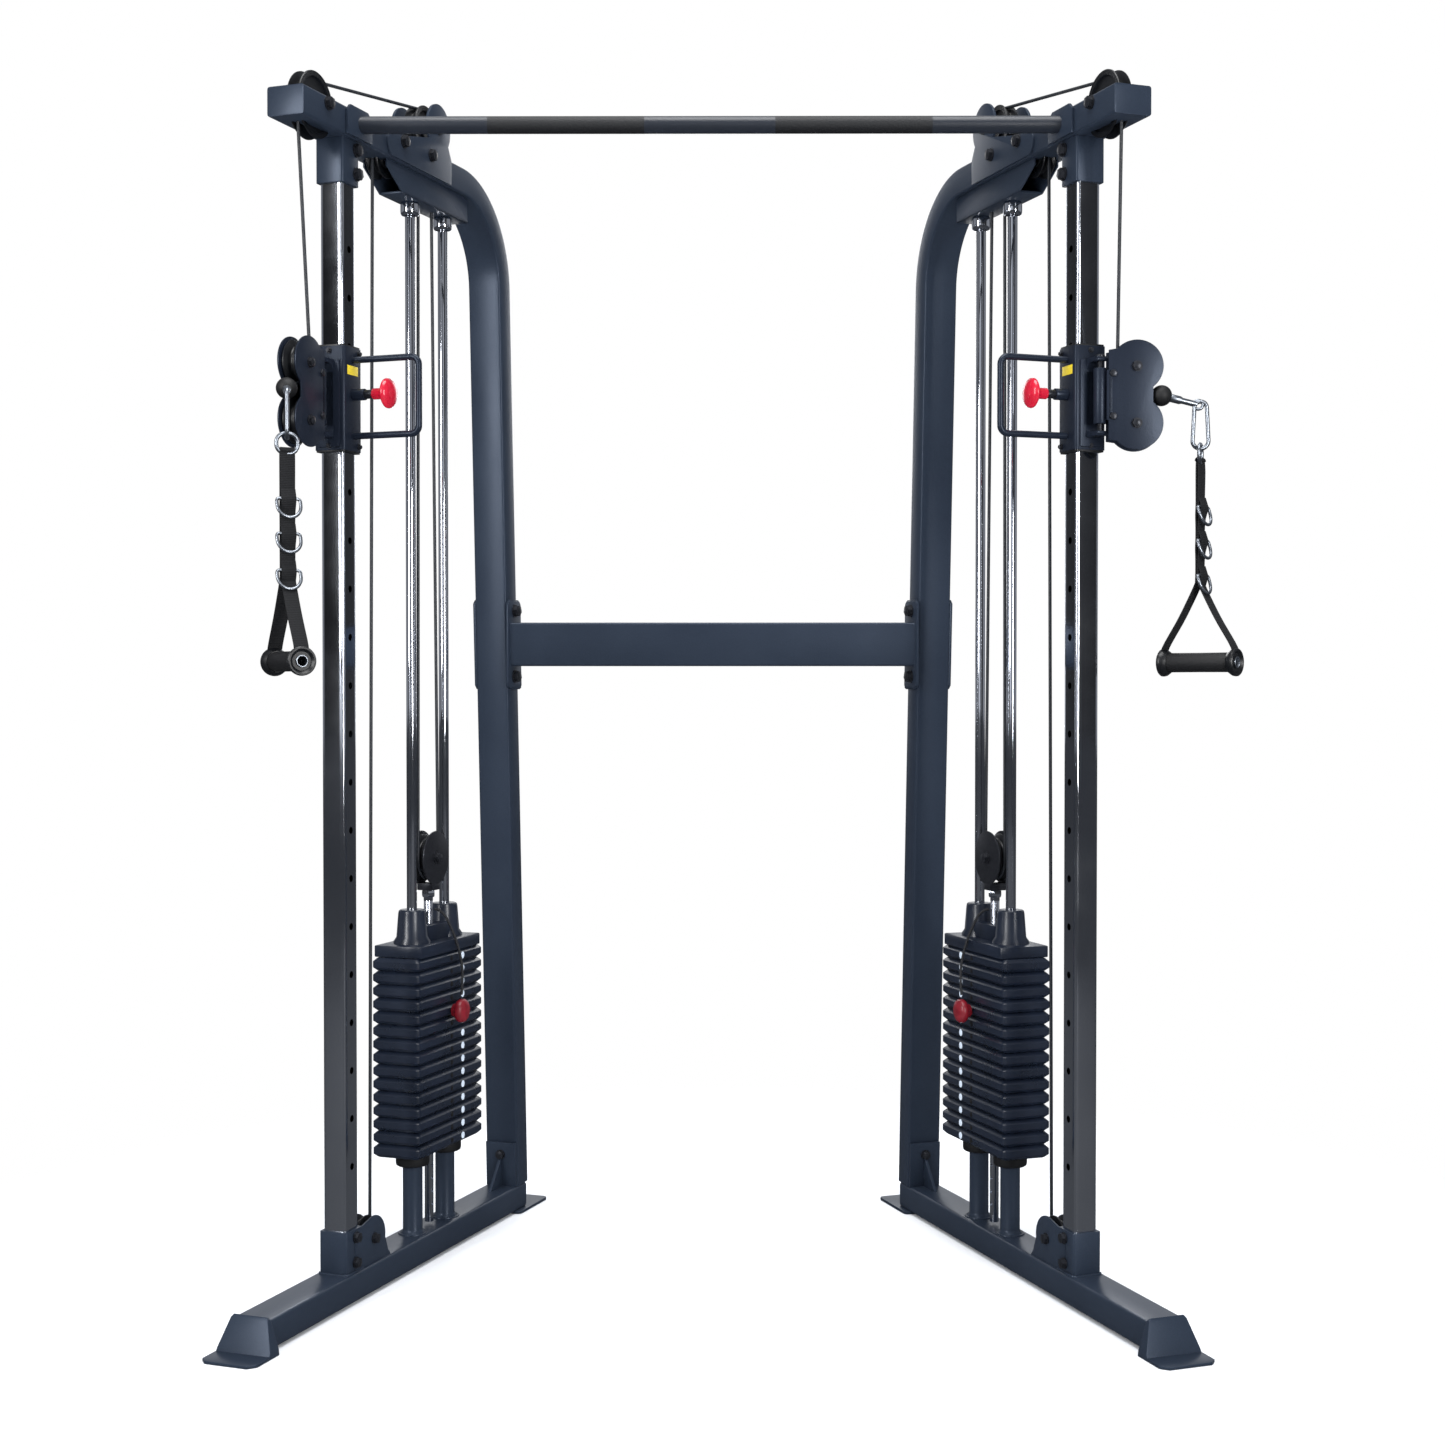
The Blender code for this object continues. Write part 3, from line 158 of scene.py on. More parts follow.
# What polished steel mirrors: a dark room with a few bright strips, given round the compass from behind (0
# and 1) past the left (0.25) and the front (0.5) to the right (0.75)
towards = add(tree, "ShaderNodeMath", {0: axes.outputs["Y"]}, operation="MULTIPLY", i1=-1.0)
compass = add(tree, "ShaderNodeMath", {0: axes.outputs["X"], 1: towards}, operation="ARCTAN2")
compass = add(tree, "ShaderNodeMath", {0: compass}, operation="MULTIPLY_ADD", i1=0.1591549, i2=0.5)
bands = add(tree, "ShaderNodeValToRGB", {"Fac": compass})
ramp = bands.color_ramp
ramp.elements[0].position, ramp.elements[0].color = 0.0, (0.95, 0.97, 1.0, 1)
ramp.elements[1].position, ramp.elements[1].color = 1.0, (0.95, 0.97, 1.0, 1)
for position, level in (
    (0.10, 0.85), (0.118, 0.05), (0.170, 0.03), (0.182, 0.42), (0.325, 0.30), (0.338, 0.02), (0.374, 0.02),
    (0.381, 0.95), (0.470, 0.90), (0.482, 0.16), (0.520, 0.14), (0.532, 0.70), (0.580, 0.80), (0.600, 0.06),
    (0.662, 0.03), (0.674, 0.34), (0.815, 0.42), (0.830, 0.04), (0.880, 0.05), (0.90, 0.85),
):
    stop = ramp.elements.new(position)
    stop.color = (level * 0.95, level * 0.98, level * 1.06, 1)
rise = add(tree, "ShaderNodeMapRange", {"Value": axes.outputs["Z"]}, From_Min=-0.6, From_Max=0.5, To_Min=1.0,
           To_Max=0.6)
dimmed = add(tree, "ShaderNodeMixRGB", {"Color1": bands, "Color2": rise}, blend_type="MULTIPLY", Fac=1.0)
path = add(tree, "ShaderNodeLightPath")
mirrored = add(tree, "ShaderNodeMixRGB", {"Fac": path.outputs["Is Glossy Ray"], "Color2": dimmed},
               Color1=(0.80, 0.84, 0.92, 1))
seen = add(tree, "ShaderNodeMixRGB", {"Fac": path.outputs["Is Camera Ray"], "Color1": mirrored},
           Color2=(1, 1, 1, 1))
sky = add(tree, "ShaderNodeBackground", {"Color": seen}, Strength=1.0)
add(tree, "ShaderNodeOutputWorld", {"Surface": sky})
bpy.context.scene.view_settings.view_transform = "Standard"

floor_mesh = bpy.data.meshes.new("floor")
floor_mesh.from_pydata([(-30, -30, 0), (30, -30, 0), (30, 30, 0), (-30, 30, 0)], [], [(0, 1, 2, 3)])
floor = bpy.data.objects.new("floor", floor_mesh)
bpy.context.scene.collection.objects.link(floor)
floor.location.z = -0.0005
# Seamless paper: white, matt, very slightly clouded. It fades into the white background away from the
# machine, and in the steel it shows as a dim grey
pale, tree, shader, place = finish("seamless_studio_paper")
wire(tree, shader, Roughness=0.9, Specular_IOR_Level=0.1)
cloud = add(tree, "ShaderNodeTexNoise", {"Vector": place}, Scale=1.5)
tone = add(tree, "ShaderNodeMixRGB", {"Fac": cloud}, Color1=linear("#fcfcfc"), Color2=linear("#f7f8f9"))
path = add(tree, "ShaderNodeLightPath")
dim = add(tree, "ShaderNodeMixRGB", {"Fac": path.outputs["Is Glossy Ray"], "Color1": tone},
          Color2=linear("#3c3d3f"))
wire(tree, shader, Base_Color=dim)
away = add(tree, "ShaderNodeVectorMath", {0: place}, operation="LENGTH")
fade = add(tree, "ShaderNodeMapRange", {"Value": away.outputs["Value"]}, interpolation_type="SMOOTHSTEP",
           From_Min=0.95, From_Max=1.75, To_Min=1.0, To_Max=0.0)
unseen = add(tree, "ShaderNodeMath", {1: path.outputs["Is Camera Ray"]}, operation="SUBTRACT", i0=1.0)
alpha = add(tree, "ShaderNodeMath", {0: fade, 1: unseen}, operation="MAXIMUM")
wire(tree, shader, Alpha=alpha)
floor_mesh.materials.append(pale)
floor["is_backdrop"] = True

# ---------------------------------------------------------------- side frames' own coordinates
# Each half of the machine is one welded frame, built to one drawing and its mirror image. Its pieces are
# given as on the left one: x towards the middle of the machine, y back along the frame from its front foot, z
# up.

SIDES = ("left", "right")
HINGE_AT = 0.222  # along the frame, hinge of the swivelling pulley block
BALL_REACH = 0.104  # hinge to the ball on the cable's end
BALL_HEIGHT = 1.5803
SWIVEL_OUT = {"left": 0.0, "right": math.radians(68)}
FITTING_OUT = {"left": math.radians(-32), "right": 0.0}
HANDLE_TWIST = {"left": math.radians(18.7),
                "right": math.radians(-36.7)}  # how far each handle has spun on its ring
HANDLE_AHEAD = 0.0665  # ball to the line that the handle hangs on
BALL_RADIUS = 0.018


def frame_of(side):
    sign = 1 if side == "left" else -1
    turn = Matrix.Rotation(-SPLAY * sign, 4, "Z")
    mirror = Matrix.Scale(sign, 4, (1, 0, 0))
    return Matrix.Translation((MIDDLE_X - FOOT_HALF_SPREAD * sign, FRONT_Y, 0)) @ turn @ mirror


def hinge_of(side):
    return frame_of(side) @ Matrix.Translation((0, HINGE_AT, 0)) @ Matrix.Rotation(-SWIVEL_OUT[side], 4, "Z")


def ball_of(side):
    at_ball = Matrix.Translation((0, -BALL_REACH, BALL_HEIGHT))
    return hinge_of(side) @ at_ball @ Matrix.Rotation(-FITTING_OUT[side], 4, "Z")


def handle_of(side):
    """The handle's own coordinates: the origin is at the ball's height on the line that it hangs on."""
    twist = HANDLE_TWIST[side] * (1 if side == "left" else -1)
    return ball_of(side) @ Matrix.Translation((0, -HANDLE_AHEAD, 0)) @ Matrix.Rotation(twist, 4, "Z")


def joined(parts, matrix=None):
    """One mesh from several, moved by the matrix, its faces pointing outwards also when that mirrors it."""
    bm = bmesh.new()
    for part in parts:
        bm.from_mesh(part)
    if matrix:
        bmesh.ops.transform(bm, matrix=matrix, verts=bm.verts)
        if matrix.determinant() < 0:
            bmesh.ops.reverse_faces(bm, faces=bm.faces)
    mesh = bpy.data.meshes.new("joined")
    bm.to_mesh(mesh)
    bm.free()
    return mesh


def piece(name, mesh, material, body, nodes=(), smooth=35):
    """A finished piece at the origin that rides on its body and stands for the CAD nodes."""
    mesh.name = name
    mesh.materials.clear()
    mesh.materials.append(material)
    if smooth:
        mesh.shade_smooth()
        mesh.set_sharp_from_angle(angle=math.radians(smooth))
    made = bpy.data.objects.new(name, mesh)
    bpy.context.scene.collection.objects.link(made)
    if body:
        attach(made, body)
    if nodes:
        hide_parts(*nodes)
    return made


# ---------------------------------------------------------------- pin lanyards
# A short black cord ties each selector pin to its stack's head so that the pin can't get lost. It is 5 mm
# braid, knotted on the stem at one end and let into the knob at the other, and it hangs over the front of the
# plates.

LANYARD_RADIUS = 0.0025
LANYARD_ROUTE = (
    (0.0135, 0.612, 0.6585), (0.0220, 0.613, 0.6570), (0.0330, 0.616, 0.6470), (0.0430, 0.620, 0.6260),
    (0.0520, 0.625, 0.6000), (0.0590, 0.628, 0.5720), (0.0660, 0.624, 0.5430),
    (0.0700, 0.614, 0.5070), (0.0695, 0.612, 0.4980),
)


def smooth_route(points, steps):
    """Points along a smooth curve through the given ones."""
    spots = [Vector(p) for p in points]
    spots = [2 * spots[0] - spots[1]] + spots + [2 * spots[-1] - spots[-2]]
    out = []
    for i in range(1, len(spots) - 2):
        a, b, c, d = spots[i - 1 : i + 3]
        for k in range(steps):
            t = k / steps
            bend = (2 * a - 5 * b + 4 * c - d) * t * t + (3 * b - a - 3 * c + d) * t**3
            out.append(0.5 * (2 * b + (c - a) * t + bend))
    return out + [spots[-2]]


# Braided polyester: black, matt, with a 2 mm diagonal plait that gives the edge a faint scallop
braid, tree, shader, _ = finish("braided_polyester_cord")
wire(tree, shader, Roughness=0.85)
place = add(tree, "ShaderNodeTexCoord")
plait = add(tree, "ShaderNodeTexWave", {"Vector": place.outputs["Object"]}, wave_type="BANDS",
            bands_direction="DIAGONAL", Scale=160, Distortion=2.0, Detail=1.0)
tone = add(tree, "ShaderNodeMixRGB", {"Fac": plait.outputs["Fac"]}, Color1=linear("#101012"),
           Color2=linear("#26272b"))
raised = add(tree, "ShaderNodeBump", {"Height": plait.outputs["Fac"]}, Strength=0.5, Distance=0.0005)
wire(tree, shader, Base_Color=tone, Normal=raised)

for side in SIDES:
    to_row = frame_of(side)
    points = [to_row @ p for p in smooth_route(LANYARD_ROUTE, 4)]
    curve = bpy.data.curves.new(f"lanyard_{side}", "CURVE")
    curve.dimensions = "3D"
    curve.bevel_depth = LANYARD_RADIUS
    curve.bevel_resolution = 4
    curve.use_fill_caps = True
    curve.materials.append(braid)
    spline = curve.splines.new("POLY")
    spline.points.add(len(points) - 1)
    for spot, point in zip(spline.points, points):
        spot.co = (*point, 1)
    cord = bpy.data.objects.new(f"lanyard_{side}", curve)
    bpy.context.scene.collection.objects.link(cord)
    length = sum((b - a).length for a, b in zip(points, points[1:]))
    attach(cord, f"stack_{side}")
    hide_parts(f"pin_lanyard_{side}")

# ---------------------------------------------------------------- base frames
# Each base is a 50 x 70 mm steel tube with a folded foot welded over its front end and a flat foot under its
# rear. Sockets, pedestals and the bottom pulley's bracket are welded on top, and all of it is powder coated
# together.

FOOT_PLATE = 0.005
TUBE_DEEP = 0.050
TUBE_WIDE = 0.070
BASE_TOP = FOOT_PLATE + TUBE_DEEP
BASE_LENGTH = 0.972
MAST_AT = 0.2845
MAST_SIZE = 0.045
SOCKET_WALL = 0.005
SOCKET_TALL = 0.075
BOTTOM_PULLEY = (0.352, BASE_TOP + 0.043)
BOTTOM_LOBE = 0.040
STACK_AT = 0.612  # along the frame, middle of the weight stack
RODS_AT = (0.547, 0.677)
PEDESTAL_RADIUS = 0.0185
WELD_RADIUS = 0.0255  # middle of the bead round a pedestal
BUMPER_RADIUS = 0.0315
STACK_BOTTOM = 0.2075
BUMPER_TALL = 0.024

# Powder coat: satin blue-grey polyester over steel. It has fine orange peel and a little tonal drift between
# areas
paint, tree, shader, place = finish("powder_coated_steel_slate")
peel = add(tree, "ShaderNodeTexNoise", {"Vector": place}, Scale=420,
           Detail=2)  # 2-3 mm cells, coarser than the real coat's
drift = add(tree, "ShaderNodeTexNoise", {"Vector": place}, Scale=5, Detail=4)
tone = add(tree, "ShaderNodeMixRGB", {"Fac": drift}, Color1=linear("#1e2530"), Color2=linear("#28303c"))
tone_name = tone.name
speck = add(tree, "ShaderNodeValToRGB", {"Fac": peel})
speck.color_ramp.elements[0].position, speck.color_ramp.elements[0].color = 0.30, (0.90, 0.90, 0.90, 1)
speck.color_ramp.elements[1].position, speck.color_ramp.elements[1].color = 0.75, (1.08, 1.08, 1.08, 1)
tone = add(tree, "ShaderNodeMixRGB", {"Color1": tone, "Color2": speck}, blend_type="MULTIPLY", Fac=1.0)
rough = add(tree, "ShaderNodeMapRange", {"Value": drift}, To_Min=0.26, To_Max=0.40)
raised = add(tree, "ShaderNodeBump", {"Height": peel}, Strength=0.30, Distance=0.0004)
wire(tree, shader, Base_Color=tone, Roughness=rough, Normal=raised, Specular_Tint=linear("#bcc8dc"))
# The same coat in a darker shade, for the carriages and the swivelling pulley blocks
paint_dark = paint.copy()
paint_dark.name = "powder_coated_steel_dark"
darker = paint_dark.node_tree.nodes[tone_name]
darker.inputs["Color1"].default_value = linear("#12161f")
darker.inputs["Color2"].default_value = linear("#1a202b")

# Nitrile bumper: dead black moulded rubber with a dusty bloom
rubber, tree, shader, place = finish("moulded_rubber_bumper")
bloom = add(tree, "ShaderNodeTexNoise", {"Vector": place}, Scale=60, Detail=5)
tone = add(tree, "ShaderNodeMixRGB", {"Fac": bloom}, Color1=linear("#060608"), Color2=linear("#0f1013"))
raised = add(tree, "ShaderNodeBump", {"Height": bloom}, Strength=0.2, Distance=0.0004)
wire(tree, shader, Base_Color=tone, Normal=raised, Roughness=0.6)

# Black zinc bolts: dark, slightly oily steel with worn, brighter corners
bolt_black, tree, shader, place = finish("black_zinc_bolt")
wear = add(tree, "ShaderNodeTexNoise", {"Vector": place}, Scale=300, Detail=3)
tone = add(tree, "ShaderNodeMixRGB", {"Fac": wear}, Color1=linear("#121317"), Color2=linear("#3b3d43"))
wire(tree, shader, Base_Color=tone, Metallic=0.6, Roughness=0.34)


def rectangle(wide, tall, corner=0.0, middle=(0.0, 0.0), steps=4):
    """A rectangle's outline with round corners."""
    cx, cy = middle
    points = []
    for sx, sy, start in ((1, 1, 0), (-1, 1, 90), (-1, -1, 180), (1, -1, 270)):
        for k in range(steps if corner else 1):
            a = math.radians(start + 90 * k / max(steps - 1, 1))
            x = cx + sx * (wide / 2 - corner) + corner * math.cos(a) * bool(corner)
            points.append((x, cy + sy * (tall / 2 - corner) + corner * math.sin(a) * bool(corner)))
    return points


def arc(centre, radius, start, end, steps):
    """Points on a circle between two angles in degrees."""
    angles = [math.radians(start + (end - start) * k / steps) for k in range(steps + 1)]
    return [(centre[0] + radius * math.cos(a), centre[1] + radius * math.sin(a)) for a in angles]


def crowned(size, corner, crown, middle, steps=6, count=8):
    """A square with round corners whose flats bulge a little, as drawn tube does."""
    points = []
    plain = rectangle(size, size, corner, steps=steps)
    for i, (x, y) in enumerate(plain):
        points.append((x, y))
        if i % steps == steps - 1:
            nx, ny = plain[(i + 1) % len(plain)]
            for k in range(1, count):
                t = k / count
                rise = crown * 4 * t * (1 - t)
                px, py = x + (nx - x) * t, y + (ny - y) * t
                points.append((px + (rise if px > size / 2 - 1e-6 else -rise if px < 1e-6 - size / 2 else 0),
                               py + (rise if py > size / 2 - 1e-6 else -rise if py < 1e-6 - size / 2 else 0)))
    return [(x + middle[0], y + middle[1]) for x, y in points]


def loft(rings, closed=False, cap=True):
    """A skin through rings of points."""
    bm = bmesh.new()
    rows = [[bm.verts.new(p) for p in ring] for ring in rings]
    for low, high in list(zip(rows, rows[1:])) + ([(rows[-1], rows[0])] if closed else []):
        for i in range(len(low)):
            j = (i + 1) % len(low)
            bm.faces.new((low[i], low[j], high[j], high[i]))
    if cap and not closed:
        bm.faces.new(rows[0])
        bm.faces.new(rows[-1])
    bmesh.ops.recalc_face_normals(bm, faces=bm.faces)
    mesh = bpy.data.meshes.new("loft")
    bm.to_mesh(mesh)
    bm.free()
    return mesh


def softened(mesh, width, segments=2, angle=40):
    """The mesh with its sharp edges rounded, as a press brake, a saw and paint leave them."""
    bm = bmesh.new()
    bm.from_mesh(mesh)
    edges = [e for e in bm.edges if len(e.link_faces) == 2 and e.calc_face_angle(0) > math.radians(angle)]
    bmesh.ops.bevel(bm, geom=edges, offset=width, segments=segments, profile=0.6, affect="EDGES",
                    clamp_overlap=True)
    bmesh.ops.recalc_face_normals(bm, faces=bm.faces)
    bm.to_mesh(mesh)
    bm.free()
    return mesh


def slab(outline, axis, low, high, soft=0.0008):
    """A plate cut to the outline in the two other axes, between low and high on its own."""

    def spot(pair, along):
        values = list(pair)
        values.insert("xyz".index(axis), along)
        return values

    mesh = loft([[spot(p, low) for p in outline], [spot(p, high) for p in outline]])
    return softened(mesh, soft) if soft else mesh


def box(x, y, z, soft=0.0008):
    return slab([(x[0], y[0]), (x[1], y[0]), (x[1], y[1]), (x[0], y[1])], "z", *z, soft)


def turned(profile, origin, axis, sides=48):
    """A lathe shape: (radius, distance along the axis) pairs, closed on themselves or on the axis."""
    turn = Vector(axis).to_track_quat("Z", "Y").to_matrix()
    bm = bmesh.new()
    loops = []
    for r, d in profile:
        count = sides if r else 1
        angles = [2 * math.pi * k / sides for k in range(count)]
        spots = [Vector((r * math.cos(a), r * math.sin(a), d)) for a in angles]
        loops.append([bm.verts.new(Vector(origin) + turn @ s) for s in spots])
    pairs = list(zip(loops, loops[1:])) + ([(loops[-1], loops[0])] if profile[0][0] else [])
    for low, high in pairs:
        for i in range(sides):
            j = (i + 1) % sides
            corners = (low[i % len(low)], low[j % len(low)], high[j % len(high)], high[i % len(high)])
            corners = list(dict.fromkeys(corners))
            if len(corners) > 2:
                bm.faces.new(corners)
    bmesh.ops.recalc_face_normals(bm, faces=bm.faces)
    mesh = bpy.data.meshes.new("turned")
    bm.to_mesh(mesh)
    bm.free()
    return mesh


def disc(origin, axis, radius, length, soft=0.0008, sides=48):
    """A round bar from the origin along the axis with softened rims."""
    profile = [(0, 0), (radius - soft, 0), (radius - 0.3 * soft, 0.3 * soft), (radius, soft),
               (radius, length - soft), (radius - 0.3 * soft, length - 0.3 * soft), (radius - soft, length),
               (0, length)]
    return turned(profile, origin, axis, sides)


def swept(path, section, closed=False, up=None):
    """The section (points across and up) carried along the path without twisting."""
    points = [Vector(p) for p in path]
    count = len(points)
    rings, normal = [], None
    for i, point in enumerate(points):
        before = points[i - 1] if closed or i else point
        after = points[(i + 1) % count] if closed or i < count - 1 else point
        along = (after - before).normalized()
        if normal is None:
            normal = Vector(up) if up else along.orthogonal()
        normal = (normal - normal.dot(along) * along).normalized()
        across = along.cross(normal)
        stretch = 1.0
        if 0 < i < count - 1 or closed:
            first, second = (point - before).normalized(), (after - point).normalized()
            stretch = 1 / max(0.5, math.cos(first.angle(second) / 2))
        bend = (after - point).normalized() - (point - before).normalized() if stretch > 1.0001 else Vector()
        ring = []
        for a, b in section:
            offset = a * across + b * normal
            if bend.length > 1e-6:
                out = bend.normalized()
                offset += out * offset.dot(out) * (stretch - 1)
            ring.append(point + offset)
        rings.append(ring)
    return loft(rings, closed)


def circle(radius, sides=16):
    return [(radius * math.cos(2 * math.pi * k / sides), radius * math.sin(2 * math.pi * k / sides))
            for k in range(sides)]


def open_tree(name, inputs):
    """A geometry tree with these inputs (label, kind) besides geometry and material, and its input node."""
    tree = bpy.data.node_groups.new(name, "GeometryNodeTree")
    for label, kind in (("Geometry", "Geometry"), *inputs, ("Material", "Material")):
        tree.interface.new_socket(label, in_out="INPUT", socket_type="NodeSocket" + kind)
    tree.interface.new_socket("Geometry", in_out="OUTPUT", socket_type="NodeSocketGeometry")
    return tree, add(tree, "NodeGroupInput")


# Bolt heads: one tree sets a domed hexagon head with its washer on every marked point, facing as the point
# says
bolt_tree, given = open_tree("bolt_heads", (("Across", "Float"), ("Head", "Float"), ("Washer", "Float")))
half = add(bolt_tree, "ShaderNodeMath", {0: given.outputs["Across"]}, operation="MULTIPLY", i1=0.577)
head = add(bolt_tree, "GeometryNodeMeshCylinder", {"Radius": half, "Depth": given.outputs["Head"]},
           Vertices=6)
slim = add(bolt_tree, "ShaderNodeMath", {0: given.outputs["Across"]}, operation="MULTIPLY", i1=0.46)
dome = add(bolt_tree, "GeometryNodeMeshCone", {"Radius Bottom": slim}, Vertices=24, Radius_Top=0.003,
           Depth=0.0012)
washer_half = add(bolt_tree, "ShaderNodeMath", {0: given.outputs["Washer"]}, operation="MULTIPLY", i1=0.5)
washer = add(bolt_tree, "GeometryNodeMeshCylinder", {"Radius": washer_half}, Vertices=32, Depth=0.002)
head_rise = add(bolt_tree, "ShaderNodeMath", {0: given.outputs["Head"]}, operation="MULTIPLY_ADD", i1=0.5,
                i2=0.002)
dome_rise = add(bolt_tree, "ShaderNodeMath", {0: given.outputs["Head"]}, operation="ADD", i1=0.002)
lift = add(bolt_tree, "ShaderNodeCombineXYZ", {"Z": head_rise})
lift_dome = add(bolt_tree, "ShaderNodeCombineXYZ", {"Z": dome_rise})
head = add(bolt_tree, "GeometryNodeTransform", {"Geometry": head, "Translation": lift})
dome = add(bolt_tree, "GeometryNodeTransform", {"Geometry": dome, "Translation": lift_dome})
washer = add(bolt_tree, "GeometryNodeTransform", {"Geometry": washer}, Translation=(0, 0, 0.001))
whole = add(bolt_tree, "GeometryNodeJoinGeometry")
for part in (head, dome, washer):
    bolt_tree.links.new(part.outputs[0], whole.inputs[0])
facing = add(bolt_tree, "GeometryNodeInputNamedAttribute", data_type="FLOAT_VECTOR", Name="facing")
aim = add(bolt_tree, "FunctionNodeAlignRotationToVector", {"Vector": facing}, axis="Z")
spread = add(bolt_tree, "GeometryNodeInstanceOnPoints", {"Points": given, "Instance": whole, "Rotation": aim})
real = add(bolt_tree, "GeometryNodeRealizeInstances", {0: spread})
coated = add(bolt_tree, "GeometryNodeSetMaterial", {"Geometry": real, "Material": given.outputs["Material"]})
add(bolt_tree, "NodeGroupOutput", {0: coated})


def grown(name, mesh, tree, material, body, values=None, nodes=(), smooth=35):
    """Runs the tree on the mesh with the named inputs and keeps the result as a plain piece."""
    seed = bpy.data.objects.new("seed", mesh)
    bpy.context.scene.collection.objects.link(seed)
    modifier = seed.modifiers.new("grow", "NODES")
    modifier.node_group = tree
    for socket in tree.interface.items_tree:
        if socket.in_out == "INPUT" and socket.name in (values or {}):
            modifier[socket.identifier] = values[socket.name]
        elif socket.in_out == "INPUT" and socket.name == "Material":
            modifier[socket.identifier] = material
    graph = bpy.context.evaluated_depsgraph_get()
    result = bpy.data.meshes.new_from_object(seed.evaluated_get(graph))
    bpy.data.objects.remove(seed, do_unlink=True)
    return piece(name, result, material, body, nodes, smooth=smooth)


def bolts(name, spots, matrix, body, across=0.018, head=0.007, washer=0.024):
    """Bolt heads at (point, outward direction) pairs."""
    mesh = bpy.data.meshes.new(name)
    mesh.from_pydata([matrix @ Vector(p) for p, _ in spots], [], [])
    facing = mesh.attributes.new("facing", "FLOAT_VECTOR", "POINT")
    for value, (_, towards) in zip(facing.data, spots):
        value.vector = (matrix.to_3x3() @ Vector(towards)).normalized()
    values = {"Across": across, "Head": head, "Washer": washer}
    return grown(name, mesh, bolt_tree, bolt_black, body, values)


def upright_middle(z):
    """Where the leaning upright's middle line is along the frame at a height."""
    return BEND_END[0] + (BEND_END[1] - z) * math.tan(UPRIGHT_LEAN)


ARM_TOP = 2.083
ARM_BOTTOM = ARM_TOP - TUBE_DEEP
ARM_MIDDLE = ARM_TOP - TUBE_DEEP / 2
BEND_RADIUS = 0.180
BEND_START = 0.700
UPRIGHT_LEAN = math.radians(2.4)
BEND_END = (BEND_START + BEND_RADIUS * math.cos(UPRIGHT_LEAN),
            ARM_MIDDLE - BEND_RADIUS + BEND_RADIUS * math.sin(UPRIGHT_LEAN))

